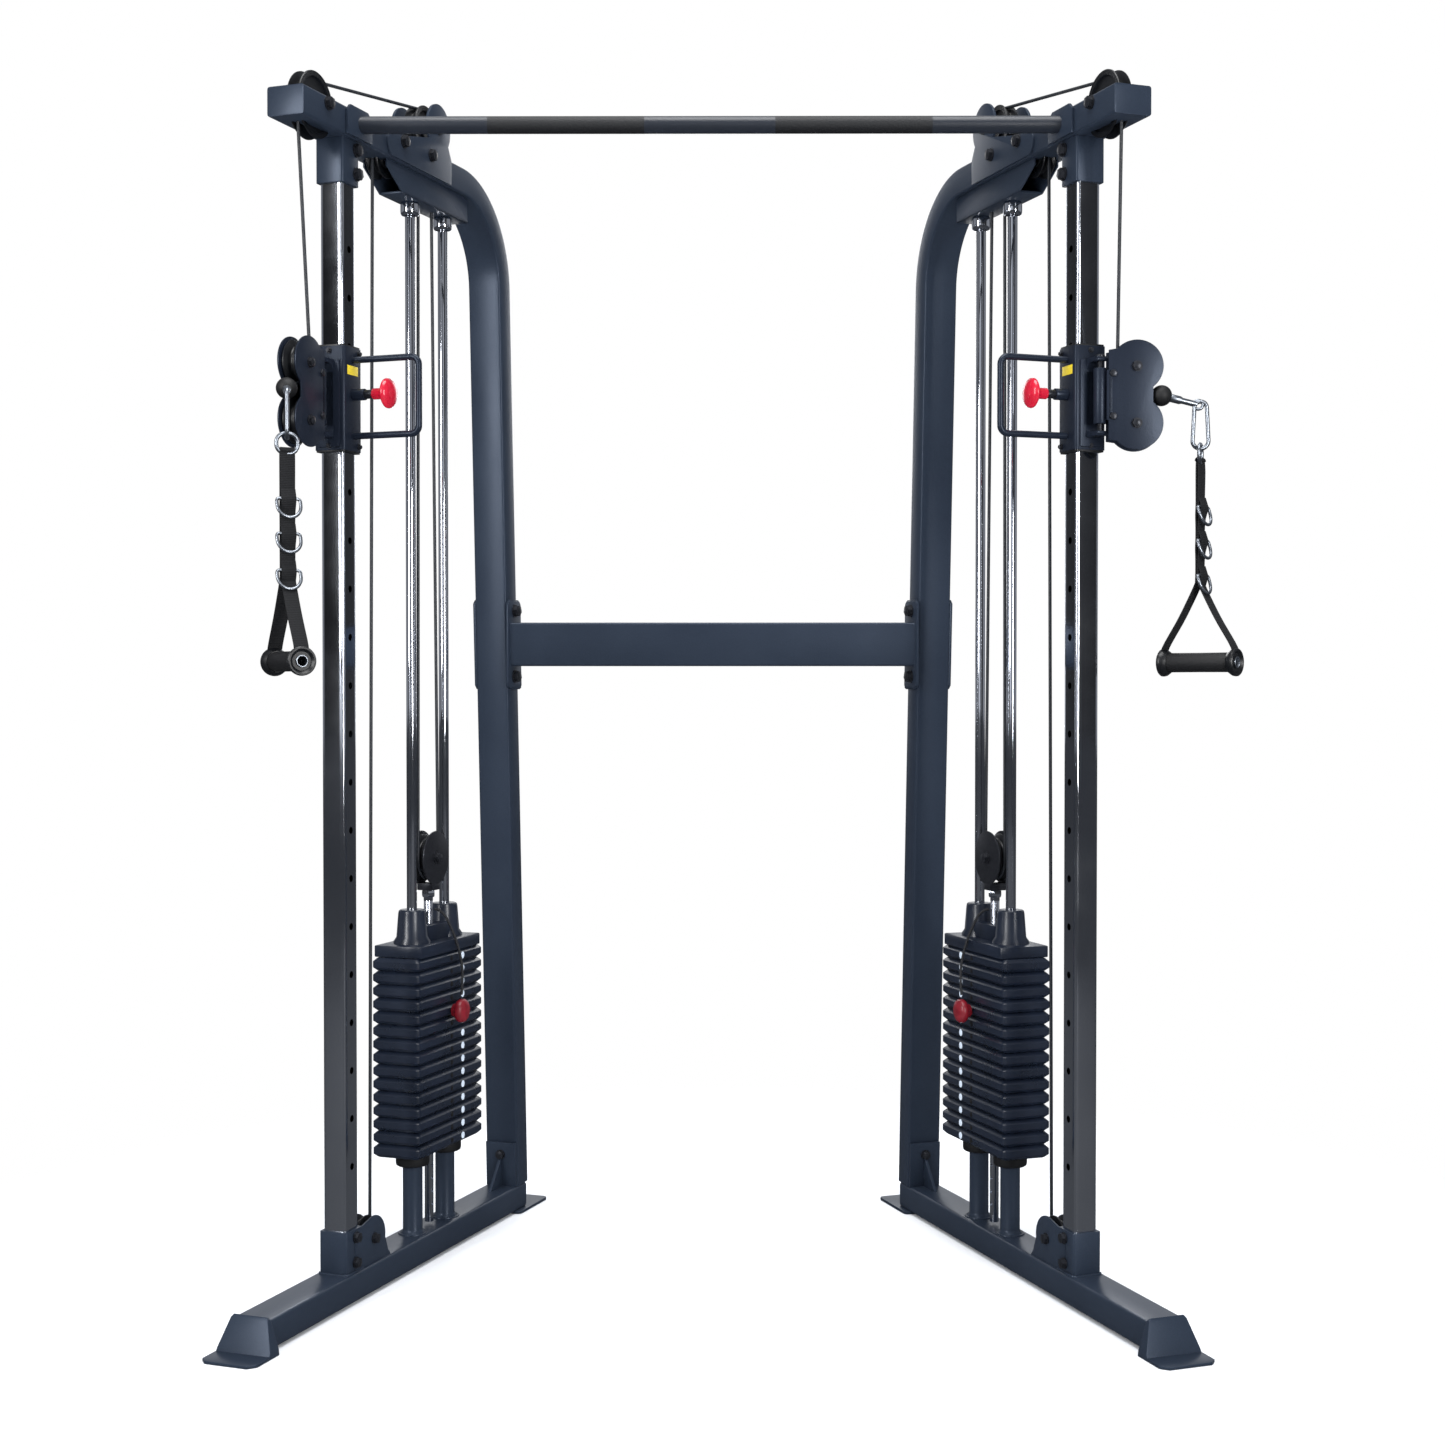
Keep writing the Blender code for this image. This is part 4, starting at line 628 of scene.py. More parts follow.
for side in SIDES:
    to_row = frame_of(side)
    section = rectangle(TUBE_WIDE, TUBE_DEEP, 0.006, (0, FOOT_PLATE + TUBE_DEEP / 2))
    tube = loft([[(x, y, z) for x, z in section] for y in (0.001, BASE_LENGTH)])
    lip = slab([(-0.051, -0.024), (-0.051, -0.063), (-0.039, -0.075), (0.039, -0.075), (0.051, -0.063),
                (0.051, -0.024)], "z", 0, FOOT_PLATE, 0.0015)
    face = softened(loft([
        [(-0.051, -0.028, 0), (0.051, -0.028, 0), (0.051, 0.003, 0), (-0.051, 0.003, 0)],
        [(-0.050, -0.023, 0.010), (0.050, -0.023, 0.010), (0.050, 0.003, 0.010), (-0.050, 0.003, 0.010)],
        [(-0.035, -0.006, BASE_TOP + 0.001), (0.035, -0.006, BASE_TOP + 0.001),
         (0.035, 0.003, BASE_TOP + 0.001), (-0.035, 0.003, BASE_TOP + 0.001)],
        [(-0.031, -0.003, BASE_TOP + 0.006), (0.031, -0.003, BASE_TOP + 0.006),
         (0.031, 0.003, BASE_TOP + 0.004), (-0.031, 0.003, BASE_TOP + 0.004)],
    ]), 0.0012, 3, 20)
    rear_plate = slab(rectangle(0.090, 0.134, 0.010, (0, BASE_LENGTH + 0.018)), "z", 0, FOOT_PLATE + 0.0008)
    socket_size = MAST_SIZE + 2 * SOCKET_WALL
    socket = slab(rectangle(socket_size, socket_size, 0.005, (0, MAST_AT)), "z", BASE_TOP - 0.001,
                  BASE_TOP + SOCKET_TALL, 0.001)
    parts = [tube, lip, face, rear_plate, socket]
    for at in RODS_AT:
        foot = [(0, BASE_TOP - 0.001), (0.0250, BASE_TOP - 0.001), (0.0235, BASE_TOP + 0.002),
                (0.0200, BASE_TOP + 0.005), (PEDESTAL_RADIUS, BASE_TOP + 0.009),
                (PEDESTAL_RADIUS, STACK_BOTTOM - BUMPER_TALL - 0.001),
                (0, STACK_BOTTOM - BUMPER_TALL - 0.001)]
        parts.append(turned(foot, (0, at, 0), (0, 0, 1)))
    at, height = BOTTOM_PULLEY
    out = MAST_SIZE / 2 + SOCKET_WALL + 0.001
    outline = [(MAST_AT, BASE_TOP - 0.001), (at + 0.060, BASE_TOP - 0.001), (at + 0.050, BASE_TOP + 0.010)]
    outline += arc((at, height), BOTTOM_LOBE, -10, 100, 20) + [(MAST_AT, BASE_TOP + SOCKET_TALL - 0.006)]
    for sign in (-1, 1):
        parts.append(slab(outline, "x", *sorted((sign * (out - 0.004), sign * out))))
    front = upright_middle(BASE_TOP) - TUBE_DEEP / 2
    top_front = upright_middle(BASE_TOP + 0.09) - TUBE_DEEP / 2
    parts.append(slab([(front - 0.006, BASE_TOP - 0.001), (front, BASE_TOP - 0.001),
                       (top_front, BASE_TOP + 0.09), (top_front - 0.006, BASE_TOP + 0.09)], "x", -0.033,
                      0.033))
    parts.append(slab([(front - 0.060, BASE_TOP - 0.001), (front - 0.003, BASE_TOP - 0.001),
                       (top_front - 0.003, BASE_TOP + 0.065)], "x", -0.003, 0.003))
    piece(f"base_{side}", joined(parts, to_row), paint, "frame", [f"base_frame_{side}"])
    # Fillet welds: a rippled bead round the socket's foot and one round each pedestal's, painted over
    ring = rectangle(socket_size + 0.002, socket_size + 0.002, 0.006, (0, MAST_AT), 8)
    seams = [ring] + [[(WELD_RADIUS * math.cos(math.tau * k / 48),
                        at + WELD_RADIUS * math.sin(math.tau * k / 48)) for k in range(48)] for at in RODS_AT]
    beads = [swept([(x, y, BASE_TOP + 0.0006 * (k % 2)) for k, (x, y) in enumerate(seam)], circle(0.0022, 10),
                   True) for seam in seams]
    piece(f"weld_beads_{side}", joined(beads, to_row), paint, "frame")
    bumpers = []
    for at in RODS_AT:
        low, high, r = STACK_BOTTOM - BUMPER_TALL, STACK_BOTTOM - 0.0003, BUMPER_RADIUS
        profile = [(0.010, low), (r - 0.004, low), (r - 0.001, low + 0.002), (r, low + 0.006),
                   (r, high - 0.006), (r - 0.001, high - 0.002), (r - 0.004, high), (0.010, high)]
        bumpers.append(turned(profile, (0, at, 0), (0, 0, 1)))
    piece(f"stack_bumpers_{side}", joined(bumpers, to_row), rubber, "frame")
    spots = [((sign * out, y, z), (sign, 0, 0)) for sign in (-1, 1) for y,
             z in ((0.287, 0.116), (0.286, 0.072), BOTTOM_PULLEY)]
    spots.append(((0.0, (front + top_front) / 2 - 0.006, 0.120), (0, -1, 0)))
    bolts(f"base_bolts_{side}", spots, to_row, "frame", 0.016, 0.006, 0.020)

# ---------------------------------------------------------------- masts
# A 45 mm square steel tube, chrome plated, stands in each base socket. A row of 12.4 mm holes, drilled down
# its inner face before plating, takes the carriage's plunger.

HOLE_COUNT = 20
HOLE_PITCH = 0.0843
HOLE_LOWEST = 0.241
HOLE_RADIUS = 0.0062
MAST_TOP = ARM_BOTTOM - 0.003

# Bright chrome: a mirror over steel with the faint lengthwise streaks of belt polishing and a few handling
# smears
chrome, tree, shader, place = finish("chrome_plated_steel")
stretch = add(tree, "ShaderNodeMapping", {"Vector": place}, Scale=(220, 220, 2.5))
streak = add(tree, "ShaderNodeTexNoise", {"Vector": stretch}, Scale=1.0, Detail=3)
smear = add(tree, "ShaderNodeTexNoise", {"Vector": place}, Scale=7, Detail=5)
rough = add(tree, "ShaderNodeMapRange", {"Value": smear}, From_Min=0.35, From_Max=0.75, To_Min=0.05,
            To_Max=0.14)
raised = add(tree, "ShaderNodeBump", {"Height": streak}, Strength=0.03, Distance=0.0003)
tone = add(tree, "ShaderNodeMixRGB", {"Fac": smear}, Color1=linear("#c9cdd6"), Color2=linear("#dfe2e8"))
wire(tree, shader, Base_Color=tone, Roughness=rough, Normal=raised, Metallic=1.0)

# Perforated tube: the tree drills a row of holes through the inner wall of the tube it is given
drill_tree, given = open_tree("drilled_row", (("Count", "Int"), ("Start", "Vector"), ("Step", "Vector"),
                                              ("Turn", "Rotation"), ("Radius", "Float")))
row = add(drill_tree, "GeometryNodeMeshLine", {"Count": given.outputs["Count"],
                                               "Start Location": given.outputs["Start"],
                                               "Offset": given.outputs["Step"]})
bit = add(drill_tree, "GeometryNodeMeshCylinder", {"Radius": given.outputs["Radius"]}, Vertices=24,
          Depth=0.020)
drills = add(drill_tree, "GeometryNodeInstanceOnPoints", {"Points": row, "Instance": bit,
                                                          "Rotation": given.outputs["Turn"]})
drills = add(drill_tree, "GeometryNodeRealizeInstances", {0: drills})
holed = add(drill_tree, "GeometryNodeMeshBoolean", {"Mesh 1": given, "Mesh 2": drills},
            operation="DIFFERENCE", solver="EXACT")
coated = add(drill_tree, "GeometryNodeSetMaterial",
             {"Geometry": holed, "Material": given.outputs["Material"]})
add(drill_tree, "NodeGroupOutput", {0: coated})

for side in SIDES:
    to_row = frame_of(side)
    low = BASE_TOP + 0.003
    outer = [[(x, y, z) for x, y in crowned(MAST_SIZE - 0.0006, 0.0055, 0.0003, (0, MAST_AT))]
             for z in (low, MAST_TOP)]
    inner = [[(x, y, z) for x, y in crowned(MAST_SIZE - 0.005, 0.002, 0, (0, MAST_AT))] for z in (MAST_TOP,
                                                                                                  low)]
    mesh = joined([loft(outer + inner, True)], to_row)
    turn = to_row.to_3x3()
    start = to_row @ Vector((MAST_SIZE / 2, MAST_AT, HOLE_LOWEST))
    inwards = (turn @ Vector((1, 0, 0))).to_track_quat("Z", "Y").to_euler()
    grown(f"mast_tube_{side}", mesh, drill_tree, chrome, "frame", {"Count": HOLE_COUNT, "Start": start,
                                                                   "Step": (0, 0, HOLE_PITCH),
                                                                   "Turn": inwards, "Radius": HOLE_RADIUS},
          [f"mast_{side}"], smooth=30)

# ---------------------------------------------------------------- uprights with their top arms
# One 50 x 70 mm tube, bent cold over a big former, makes the upright and the arm. The mast's top clamp, the
# pulley bracket and the channel that holds the guide rods are welded to the arm before coating.

ARM_FRONT = 0.117
CROSS_MIDDLE = 1.168
REAR_TOP = (0.590, ARM_TOP + 0.0465)
FRONT_TOP = (0.195, ARM_TOP - 0.0125)
LOBE_RADIUS = 0.045
ROD_HOLDER_BOTTOM = 1.985
ROD_HOLDER_HALF = 0.0245

for side in SIDES:
    to_row = frame_of(side)
    section = rectangle(TUBE_DEEP, TUBE_WIDE, 0.0045)
    path_points = [(0, ARM_FRONT, ARM_MIDDLE), (0, 0.3, ARM_MIDDLE), (0, BEND_START - 0.02, ARM_MIDDLE)]
    path_points += [(0, y, z) for y, z in arc((BEND_START, ARM_MIDDLE - BEND_RADIUS), BEND_RADIUS, 90,
                                              math.degrees(UPRIGHT_LEAN), 28)]
    path_points += [(0, upright_middle(z), z) for z in (1.2, BASE_TOP + 0.0003)]
    tube = swept(path_points, [(b, a) for a, b in section], up=(0, 0, 1))
    parts = [softened(tube, 0.001, 2, 60)]
    socket_size = MAST_SIZE + 2 * SOCKET_WALL
    parts.append(slab(rectangle(socket_size, socket_size, 0.005, (0, MAST_AT)), "z", ARM_BOTTOM - 0.078,
                      ARM_BOTTOM + 0.001, 0.001))
    at, height = REAR_TOP
    outline = arc((0.418, ARM_MIDDLE), 0.0235, 120, 250, 10) + [(0.640, ARM_BOTTOM + 0.002),
                                                                (0.640, ARM_TOP - 0.002)]
    outline += arc((at, height), LOBE_RADIUS, -35, 215, 36) + [(0.450, ARM_TOP - 0.002)]
    for sign in (-1, 1):
        parts.append(slab(outline, "x",
                          *sorted((sign * (TUBE_WIDE / 2 - 0.001), sign * (TUBE_WIDE / 2 + 0.004)))))
    holder = [(0.416, ARM_BOTTOM + 0.001), (0.416, ARM_BOTTOM - 0.012), (0.475, ROD_HOLDER_BOTTOM),
              (0.735, ROD_HOLDER_BOTTOM), (0.735, ARM_BOTTOM + 0.001)]
    for low in (-ROD_HOLDER_HALF, ROD_HOLDER_HALF - 0.003):
        parts.append(slab(holder, "x", low, low + 0.003))
    parts.append(box((-ROD_HOLDER_HALF, ROD_HOLDER_HALF), (0.475, 0.735),
                     (ROD_HOLDER_BOTTOM, ROD_HOLDER_BOTTOM + 0.004)))
    half = 0.091
    low_mid, high_mid = upright_middle(CROSS_MIDDLE - half), upright_middle(CROSS_MIDDLE + half)
    back, front = TUBE_DEEP / 2 + 0.006, TUBE_DEEP / 2 - 0.001
    outline = [(low_mid - front + 0.008, CROSS_MIDDLE - half), (low_mid + back - 0.008, CROSS_MIDDLE - half),
               (low_mid + back, CROSS_MIDDLE - half + 0.008), (high_mid + back, CROSS_MIDDLE + half - 0.008),
               (high_mid + back - 0.008, CROSS_MIDDLE + half), (high_mid - front + 0.008,
                                                                CROSS_MIDDLE + half),
               (high_mid - front, CROSS_MIDDLE + half - 0.008),
               (low_mid - front, CROSS_MIDDLE - half + 0.008)]
    for sign in (-1, 1):
        parts.append(slab(outline, "x",
                          *sorted((sign * (TUBE_WIDE / 2 - 0.001), sign * (TUBE_WIDE / 2 + 0.005))), 0.0015))
    parts.append(slab([(low_mid + back - 0.005, CROSS_MIDDLE - half + 0.002),
                       (low_mid + back, CROSS_MIDDLE - half + 0.002),
                       (high_mid + back, CROSS_MIDDLE + half - 0.002), (high_mid + back - 0.005,
                                                                        CROSS_MIDDLE + half - 0.002)], "x",
                      -TUBE_WIDE / 2 - 0.004, TUBE_WIDE / 2 + 0.004, 0.0015))
    piece(f"upright_{side}", joined(parts, to_row), paint, "frame", [f"upright_arm_{side}"])
    collars = []
    for at in RODS_AT:
        low = ROD_HOLDER_BOTTOM - 0.025
        profile = [(0.0102, low), (0.0140, low), (0.0162, low + 0.0012), (0.0176, low + 0.0040),
                   (0.0180, low + 0.0090), (0.0180, ROD_HOLDER_BOTTOM - 0.005),
                   (0.0172, ROD_HOLDER_BOTTOM - 0.002), (0.0160, ROD_HOLDER_BOTTOM),
                   (0.0102, ROD_HOLDER_BOTTOM)]
        collars.append(turned(profile, (0, at, 0), (0, 0, 1)))
    piece(f"rod_collars_{side}", joined(collars, to_row), chrome, "frame")
    plate = TUBE_WIDE / 2 + 0.004
    side_spots = [((sign * plate, y, z), (sign, 0, 0)) for sign in (-1, 1) for y,
                  z in ((0.453, 2.071), (0.559, 2.072), REAR_TOP)]
    side_spots += [((sign * TUBE_WIDE / 2, *FRONT_TOP), (sign, 0, 0)) for sign in (-1, 1)]
    side_spots += [((socket_size / 2, y, z), (1, 0, 0)) for y, z in ((0.302, 2.018), (0.302, 1.976))]
    bolts(f"arm_bolts_{side}", side_spots, to_row, "frame")

# ---------------------------------------------------------------- crossmember and pull-up bar
# An 88 x 40 mm tube with an end plate at each end ties the uprights together and is bolted to them. A round
# bar between the arms does the same at the front and serves as a pull-up bar.

CROSS_TALL = 0.088
CROSS_DEEP = 0.040
CROSS_AT = 0.835
CROSS_PLATE_TALL = 0.176
BAR_RADIUS = 0.015
BAR_AT = 0.2725
BAR_HEIGHT = 2.061
GRIP_FROM, GRIP_TO = 0.114, 0.387

# Textured black: hammered powder coat on the bar, coarse where the hands go and fine elsewhere
bar_black, tree, shader, place = finish("hammered_black_powder_coat")
centred = add(tree, "ShaderNodeVectorMath", {0: place}, operation="SUBTRACT", i1=(MIDDLE_X, 0, 0))
along = add(tree, "ShaderNodeSeparateXYZ", {0: centred})
along = add(tree, "ShaderNodeMath", {0: along.outputs["X"]}, operation="ABSOLUTE")
hand = add(tree, "ShaderNodeMath", {0: along}, operation="COMPARE", i1=(GRIP_FROM + GRIP_TO) / 2,
           i2=(GRIP_TO - GRIP_FROM) / 2)
dimple = add(tree, "ShaderNodeTexVoronoi", {"Vector": place}, Scale=330)
fine = add(tree, "ShaderNodeTexNoise", {"Vector": place}, Scale=500)
tone = add(tree, "ShaderNodeMixRGB", {"Fac": hand}, Color1=linear("#1a1f28"), Color2=linear("#0e1014"))
rough = add(tree, "ShaderNodeMapRange", {"Value": hand}, To_Min=0.36, To_Max=0.62)
relief = add(tree, "ShaderNodeMixRGB", {"Fac": hand, "Color1": fine, "Color2": dimple})
raised = add(tree, "ShaderNodeBump", {"Height": relief}, Strength=0.5, Distance=0.0008)
wire(tree, shader, Base_Color=tone, Roughness=rough, Normal=raised)


def along_machine(outline, side_faces, soft):
    """A bar between the two splayed frames, its ends cut to them; outline of (y, z) in the machine's axes."""
    ends = []
    for side, face in zip(SIDES, side_faces):
        to_row = frame_of(side)
        origin = to_row @ Vector((face, 0, 0))
        normal = to_row.to_3x3() @ Vector((1, 0, 0))
        ends.append([(origin.x - normal.y / normal.x * (FRONT_Y + y - origin.y), FRONT_Y + y, z) for y,
                     z in outline])
    return softened(loft(ends), soft, 3, 60) if soft else loft(ends)


face = TUBE_WIDE / 2 + 0.0053
beam = along_machine(rectangle(CROSS_DEEP, CROSS_TALL, 0.005, (CROSS_AT, CROSS_MIDDLE)),
                     (face + 0.001, face + 0.001), 0)
parts = [beam]
middle = upright_middle(CROSS_MIDDLE) - 0.010
for side in SIDES:
    to_row = frame_of(side)
    plate = slab(rectangle(0.060, CROSS_PLATE_TALL, 0.012, (middle, CROSS_MIDDLE), 6), "x", face,
                 face + 0.005, 0.0012)
    parts.append(joined([plate], to_row))
    spots = [((face + 0.005, middle, z), (1, 0, 0)) for z in (1.236, 1.103)]
    bolts(f"crossmember_bolts_{side}", spots, to_row, "frame", 0.019, 0.009, 0.026)
piece("crossmember_beam", joined(parts), paint, "frame", ["crossmember"])

face = TUBE_WIDE / 2 + 0.0003
bar = along_machine([(BAR_AT + y, BAR_HEIGHT + z) for y, z in circle(BAR_RADIUS, 40)],
                    (face + 0.001, face + 0.001), 0)
piece("pull_up_bar_tube", bar, bar_black, "frame", ["pull_up_bar"])
outline = [(0.252, ARM_BOTTOM + 0.002), (0.336, ARM_BOTTOM + 0.002), (0.336, ARM_TOP - 0.006),
           (0.322, ARM_TOP + 0.004), (0.262, ARM_TOP + 0.004), (0.252, ARM_TOP - 0.006)]
for side in SIDES:
    to_row = frame_of(side)
    plate = slab(outline, "x", face, face + 0.005, 0.001)
    piece(f"pull_up_bar_plate_{side}", joined([plate], to_row), paint, "frame")
    spots = [((face + 0.005, 0.312, 2.064), (1, 0, 0)), ((-TUBE_WIDE / 2, 0.312, 2.064), (-1, 0, 0))]
    bolts(f"pull_up_bar_bolts_{side}", spots, to_row, "frame", 0.019, 0.009, 0.026)

# ---------------------------------------------------------------- guide rods
# Two 19 mm ground and chromed rods on each side guide the plates and the head.

ROD_RADIUS = 0.0095
ROD_FOOT = 0.156  # inside the pedestal

for side in SIDES:
    rods = [disc((0, at, ROD_FOOT), (0, 0, 1), ROD_RADIUS, ROD_HOLDER_BOTTOM - ROD_FOOT) for at in RODS_AT]
    piece(f"guide_rods_{side}", joined(rods, frame_of(side)), chrome, "frame", [f"guide_rod_front_{side}",
                                                                                f"guide_rod_rear_{side}"])

# ---------------------------------------------------------------- pulleys
# Fibre-filled nylon sheaves with a raised hub and rim. The groove is half round for the 6 mm cable.

CABLE_RADIUS = 0.003

# Moulded nylon: near-black, satin, with the soft swirl that glass filling leaves
nylon, tree, shader, place = finish("glass_filled_nylon")
swirl = add(tree, "ShaderNodeTexNoise", {"Vector": place}, Scale=90, Detail=4, Distortion=0.6)
tone = add(tree, "ShaderNodeMixRGB", {"Fac": swirl}, Color1=linear("#060709"), Color2=linear("#0f1115"))
rough = add(tree, "ShaderNodeMapRange", {"Value": swirl}, To_Min=0.28, To_Max=0.44)
raised = add(tree, "ShaderNodeBump", {"Height": swirl}, Strength=0.15, Distance=0.0003)
wire(tree, shader, Base_Color=tone, Roughness=rough, Normal=raised)

RETURN_HEIGHT = 2.039
PULLEYS = {
    "front_top_pulley": (FRONT_TOP, 0.0565, 0.042),
    "rear_top_pulley": (REAR_TOP, 0.045, 0.039),
    "return_pulley_rear": ((0.549, RETURN_HEIGHT), 0.036, 0.030),
    "return_pulley_front": ((0.437, RETURN_HEIGHT), 0.036, 0.030),
    "bottom_pulley": (BOTTOM_PULLEY, 0.039, 0.0335),
}
FLOATING = ((STACK_AT, 0.757), 0.045, 0.040)
SWIVEL_PULLEYS = {"upper": 1.6288, "lower": 1.5318}
SWIVEL_REACH = 0.060  # hinge to the two pulleys' axles
SWIVEL_ROPE = 0.031


def sheave(spot, radius, rope, wide=0.024):
    """A pulley wheel; rope is the radius to the middle of the cable."""
    half = wide / 2
    root = rope - CABLE_RADIUS - 0.0003
    groove = [(root + 0.0036 - 0.0036 * math.cos(math.radians(a)), 0.0036 * math.sin(math.radians(a)))
              for a in range(-80, 81, 20)]
    web = half - 0.004
    hub = 0.016
    rim = radius - 0.009
    profile = [(0.0063, -half), (hub, -half), (hub + 0.001, -half + 0.001), (hub + 0.002, -web),
               (rim - 0.002, -web), (rim, -half + 0.0006), (radius - 0.001, -half), (radius, -half + 0.001),
               (radius, -half + 0.003)]
    profile += groove
    profile += [(r, -d) for r, d in reversed(profile[:9])]
    return turned(profile, (0, *spot), (1, 0, 0), 64)


for side in SIDES:
    to_row = frame_of(side)
    for name, (spot, radius, rope) in PULLEYS.items():
        piece(f"{name}_sheave_{side}", joined([sheave(spot, radius, rope)], to_row), nylon, f"{name}_{side}",
              [f"{name}_{side}"])
    piece(f"floating_sheave_{side}", joined([sheave(*FLOATING)], to_row), nylon, f"floating_pulley_{side}",
          [f"floating_pulley_{side}"])
    for name, height in SWIVEL_PULLEYS.items():
        mesh = sheave((-SWIVEL_REACH, height), 0.040, SWIVEL_ROPE)
        piece(f"swivel_sheave_{name}_{side}", joined([mesh], hinge_of(side)), nylon,
              f"swivel_pulley_{name}_{side}", [f"swivel_pulley_{name}_{side}"])

# ---------------------------------------------------------------- weight stacks
# Fifteen cast-iron plates of ten pounds, machined on the faces and black enamelled, with the edges cast to a
# slope. The plates above the pin hang on the stem; the rest stay on the bumpers.

PLATE_COUNT = 15
PLATES_PICKED = 5
PLATE_PITCH = 0.0248
PLATE_LONG = 0.261
PLATE_WIDE = 0.099
PLATES_TOP = STACK_BOTTOM + PLATE_COUNT * PLATE_PITCH
STEM_RADIUS = 0.0085
STEM_HOLE = 0.0052
STEM_HOLES = 5  # those below the plates
PIN_RADIUS = 0.0045

# Enamelled cast iron: black with a blue cast, slightly pitted by the sand mould under the paint
iron, tree, shader, place = finish("enamelled_cast_iron")
grit = add(tree, "ShaderNodeTexNoise", {"Vector": place}, Scale=260, Detail=4)
patch = add(tree, "ShaderNodeTexNoise", {"Vector": place}, Scale=18, Detail=3)
tone = add(tree, "ShaderNodeMixRGB", {"Fac": patch}, Color1=linear("#0f141d"), Color2=linear("#1a2231"))
rough = add(tree, "ShaderNodeMapRange", {"Value": patch}, To_Min=0.22, To_Max=0.36)
raised = add(tree, "ShaderNodeBump", {"Height": grit}, Strength=0.25, Distance=0.0004)
wire(tree, shader, Base_Color=tone, Roughness=rough, Normal=raised)

# White marks: flat enamel dots beside each pin hole
dot_white, tree, shader, place = finish("white_enamel_mark")
chip = add(tree, "ShaderNodeTexNoise", {"Vector": place}, Scale=400, Detail=3)
tone = add(tree, "ShaderNodeMixRGB", {"Fac": chip}, Color1=linear("#9fb0c2"), Color2=linear("#e4ebf2"))
wire(tree, shader, Base_Color=tone, Roughness=0.4)

# Piles: one tree repeats a plate, or what is on it, at the plates' pitch
stack_tree, given = open_tree("plate_stack", (("Count", "Int"), ("Pitch", "Float")))
rise = add(stack_tree, "ShaderNodeCombineXYZ", {"Z": given.outputs["Pitch"]})
row = add(stack_tree, "GeometryNodeMeshLine", {"Count": given.outputs["Count"], "Offset": rise})
pile = add(stack_tree, "GeometryNodeInstanceOnPoints", {"Points": row, "Instance": given})
real = add(stack_tree, "GeometryNodeRealizeInstances", {0: pile})
coated = add(stack_tree, "GeometryNodeSetMaterial", {"Geometry": real, "Material": given.outputs["Material"]})
add(stack_tree, "NodeGroupOutput", {0: coated})


def weight_plate(low):
    """One plate with all its edges sloped, standing on the height low."""
    rings = []
    for rise, inset in ((0.0004, 0.0068), (0.0009, 0.0060), (0.0062, 0.0006), (0.0070, 0.0), (0.0178, 0.0),
                        (0.0186, 0.0006), (0.0239, 0.0060), (0.0244, 0.0068)):
        outline = rectangle(PLATE_WIDE - 2 * inset, PLATE_LONG - 2 * inset, 0.008, (0, STACK_AT), 5)
        rings.append([(x, y, low + rise) for x, y in outline])
    return loft(rings)


for side in SIDES:
    to_row = frame_of(side)
    resting = PLATE_COUNT - PLATES_PICKED
    for name, first, count, body in (("resting", 0, resting, "frame"), ("lifted", resting, PLATES_PICKED,
                                                                        f"stack_{side}")):
        low = STACK_BOTTOM + first * PLATE_PITCH
        grown(f"weight_plates_{name}_{side}", joined([weight_plate(low)], to_row), stack_tree, iron, body,
              {"Count": count, "Pitch": PLATE_PITCH}, [f"plates_{name}_{side}"], smooth=25)
        mark = disc((PLATE_WIDE / 2 - 0.0004, STACK_AT + 0.045, low + PLATE_PITCH / 2), (1, 0, 0), 0.0065,
                    0.0009, 0.0002, 24)
        grown(f"plate_marks_{name}_{side}", joined([mark], to_row), stack_tree, dot_white, body,
              {"Count": count, "Pitch": PLATE_PITCH})
        # Pin holes: a flat near-black disc on the plate's face at each hole, painted shade standing for the
        # dark inside of the hole
        hole_shade = disc((PLATE_WIDE / 2 - 0.0004, STACK_AT, low + PLATE_PITCH / 2), (1, 0, 0), STEM_HOLE, 0.0007,
                    0.0002, 24)
        grown(f"painted_hole_shade_{name}_{side}", joined([hole_shade], to_row), stack_tree, rubber, body,
              {"Count": count, "Pitch": PLATE_PITCH})

# ---------------------------------------------------------------- stack heads
# A casting with two long bushes slides on the rods above the plates. The drilled stem hangs from it, and a
# bolt carries the two round plates that hold the floating pulley.

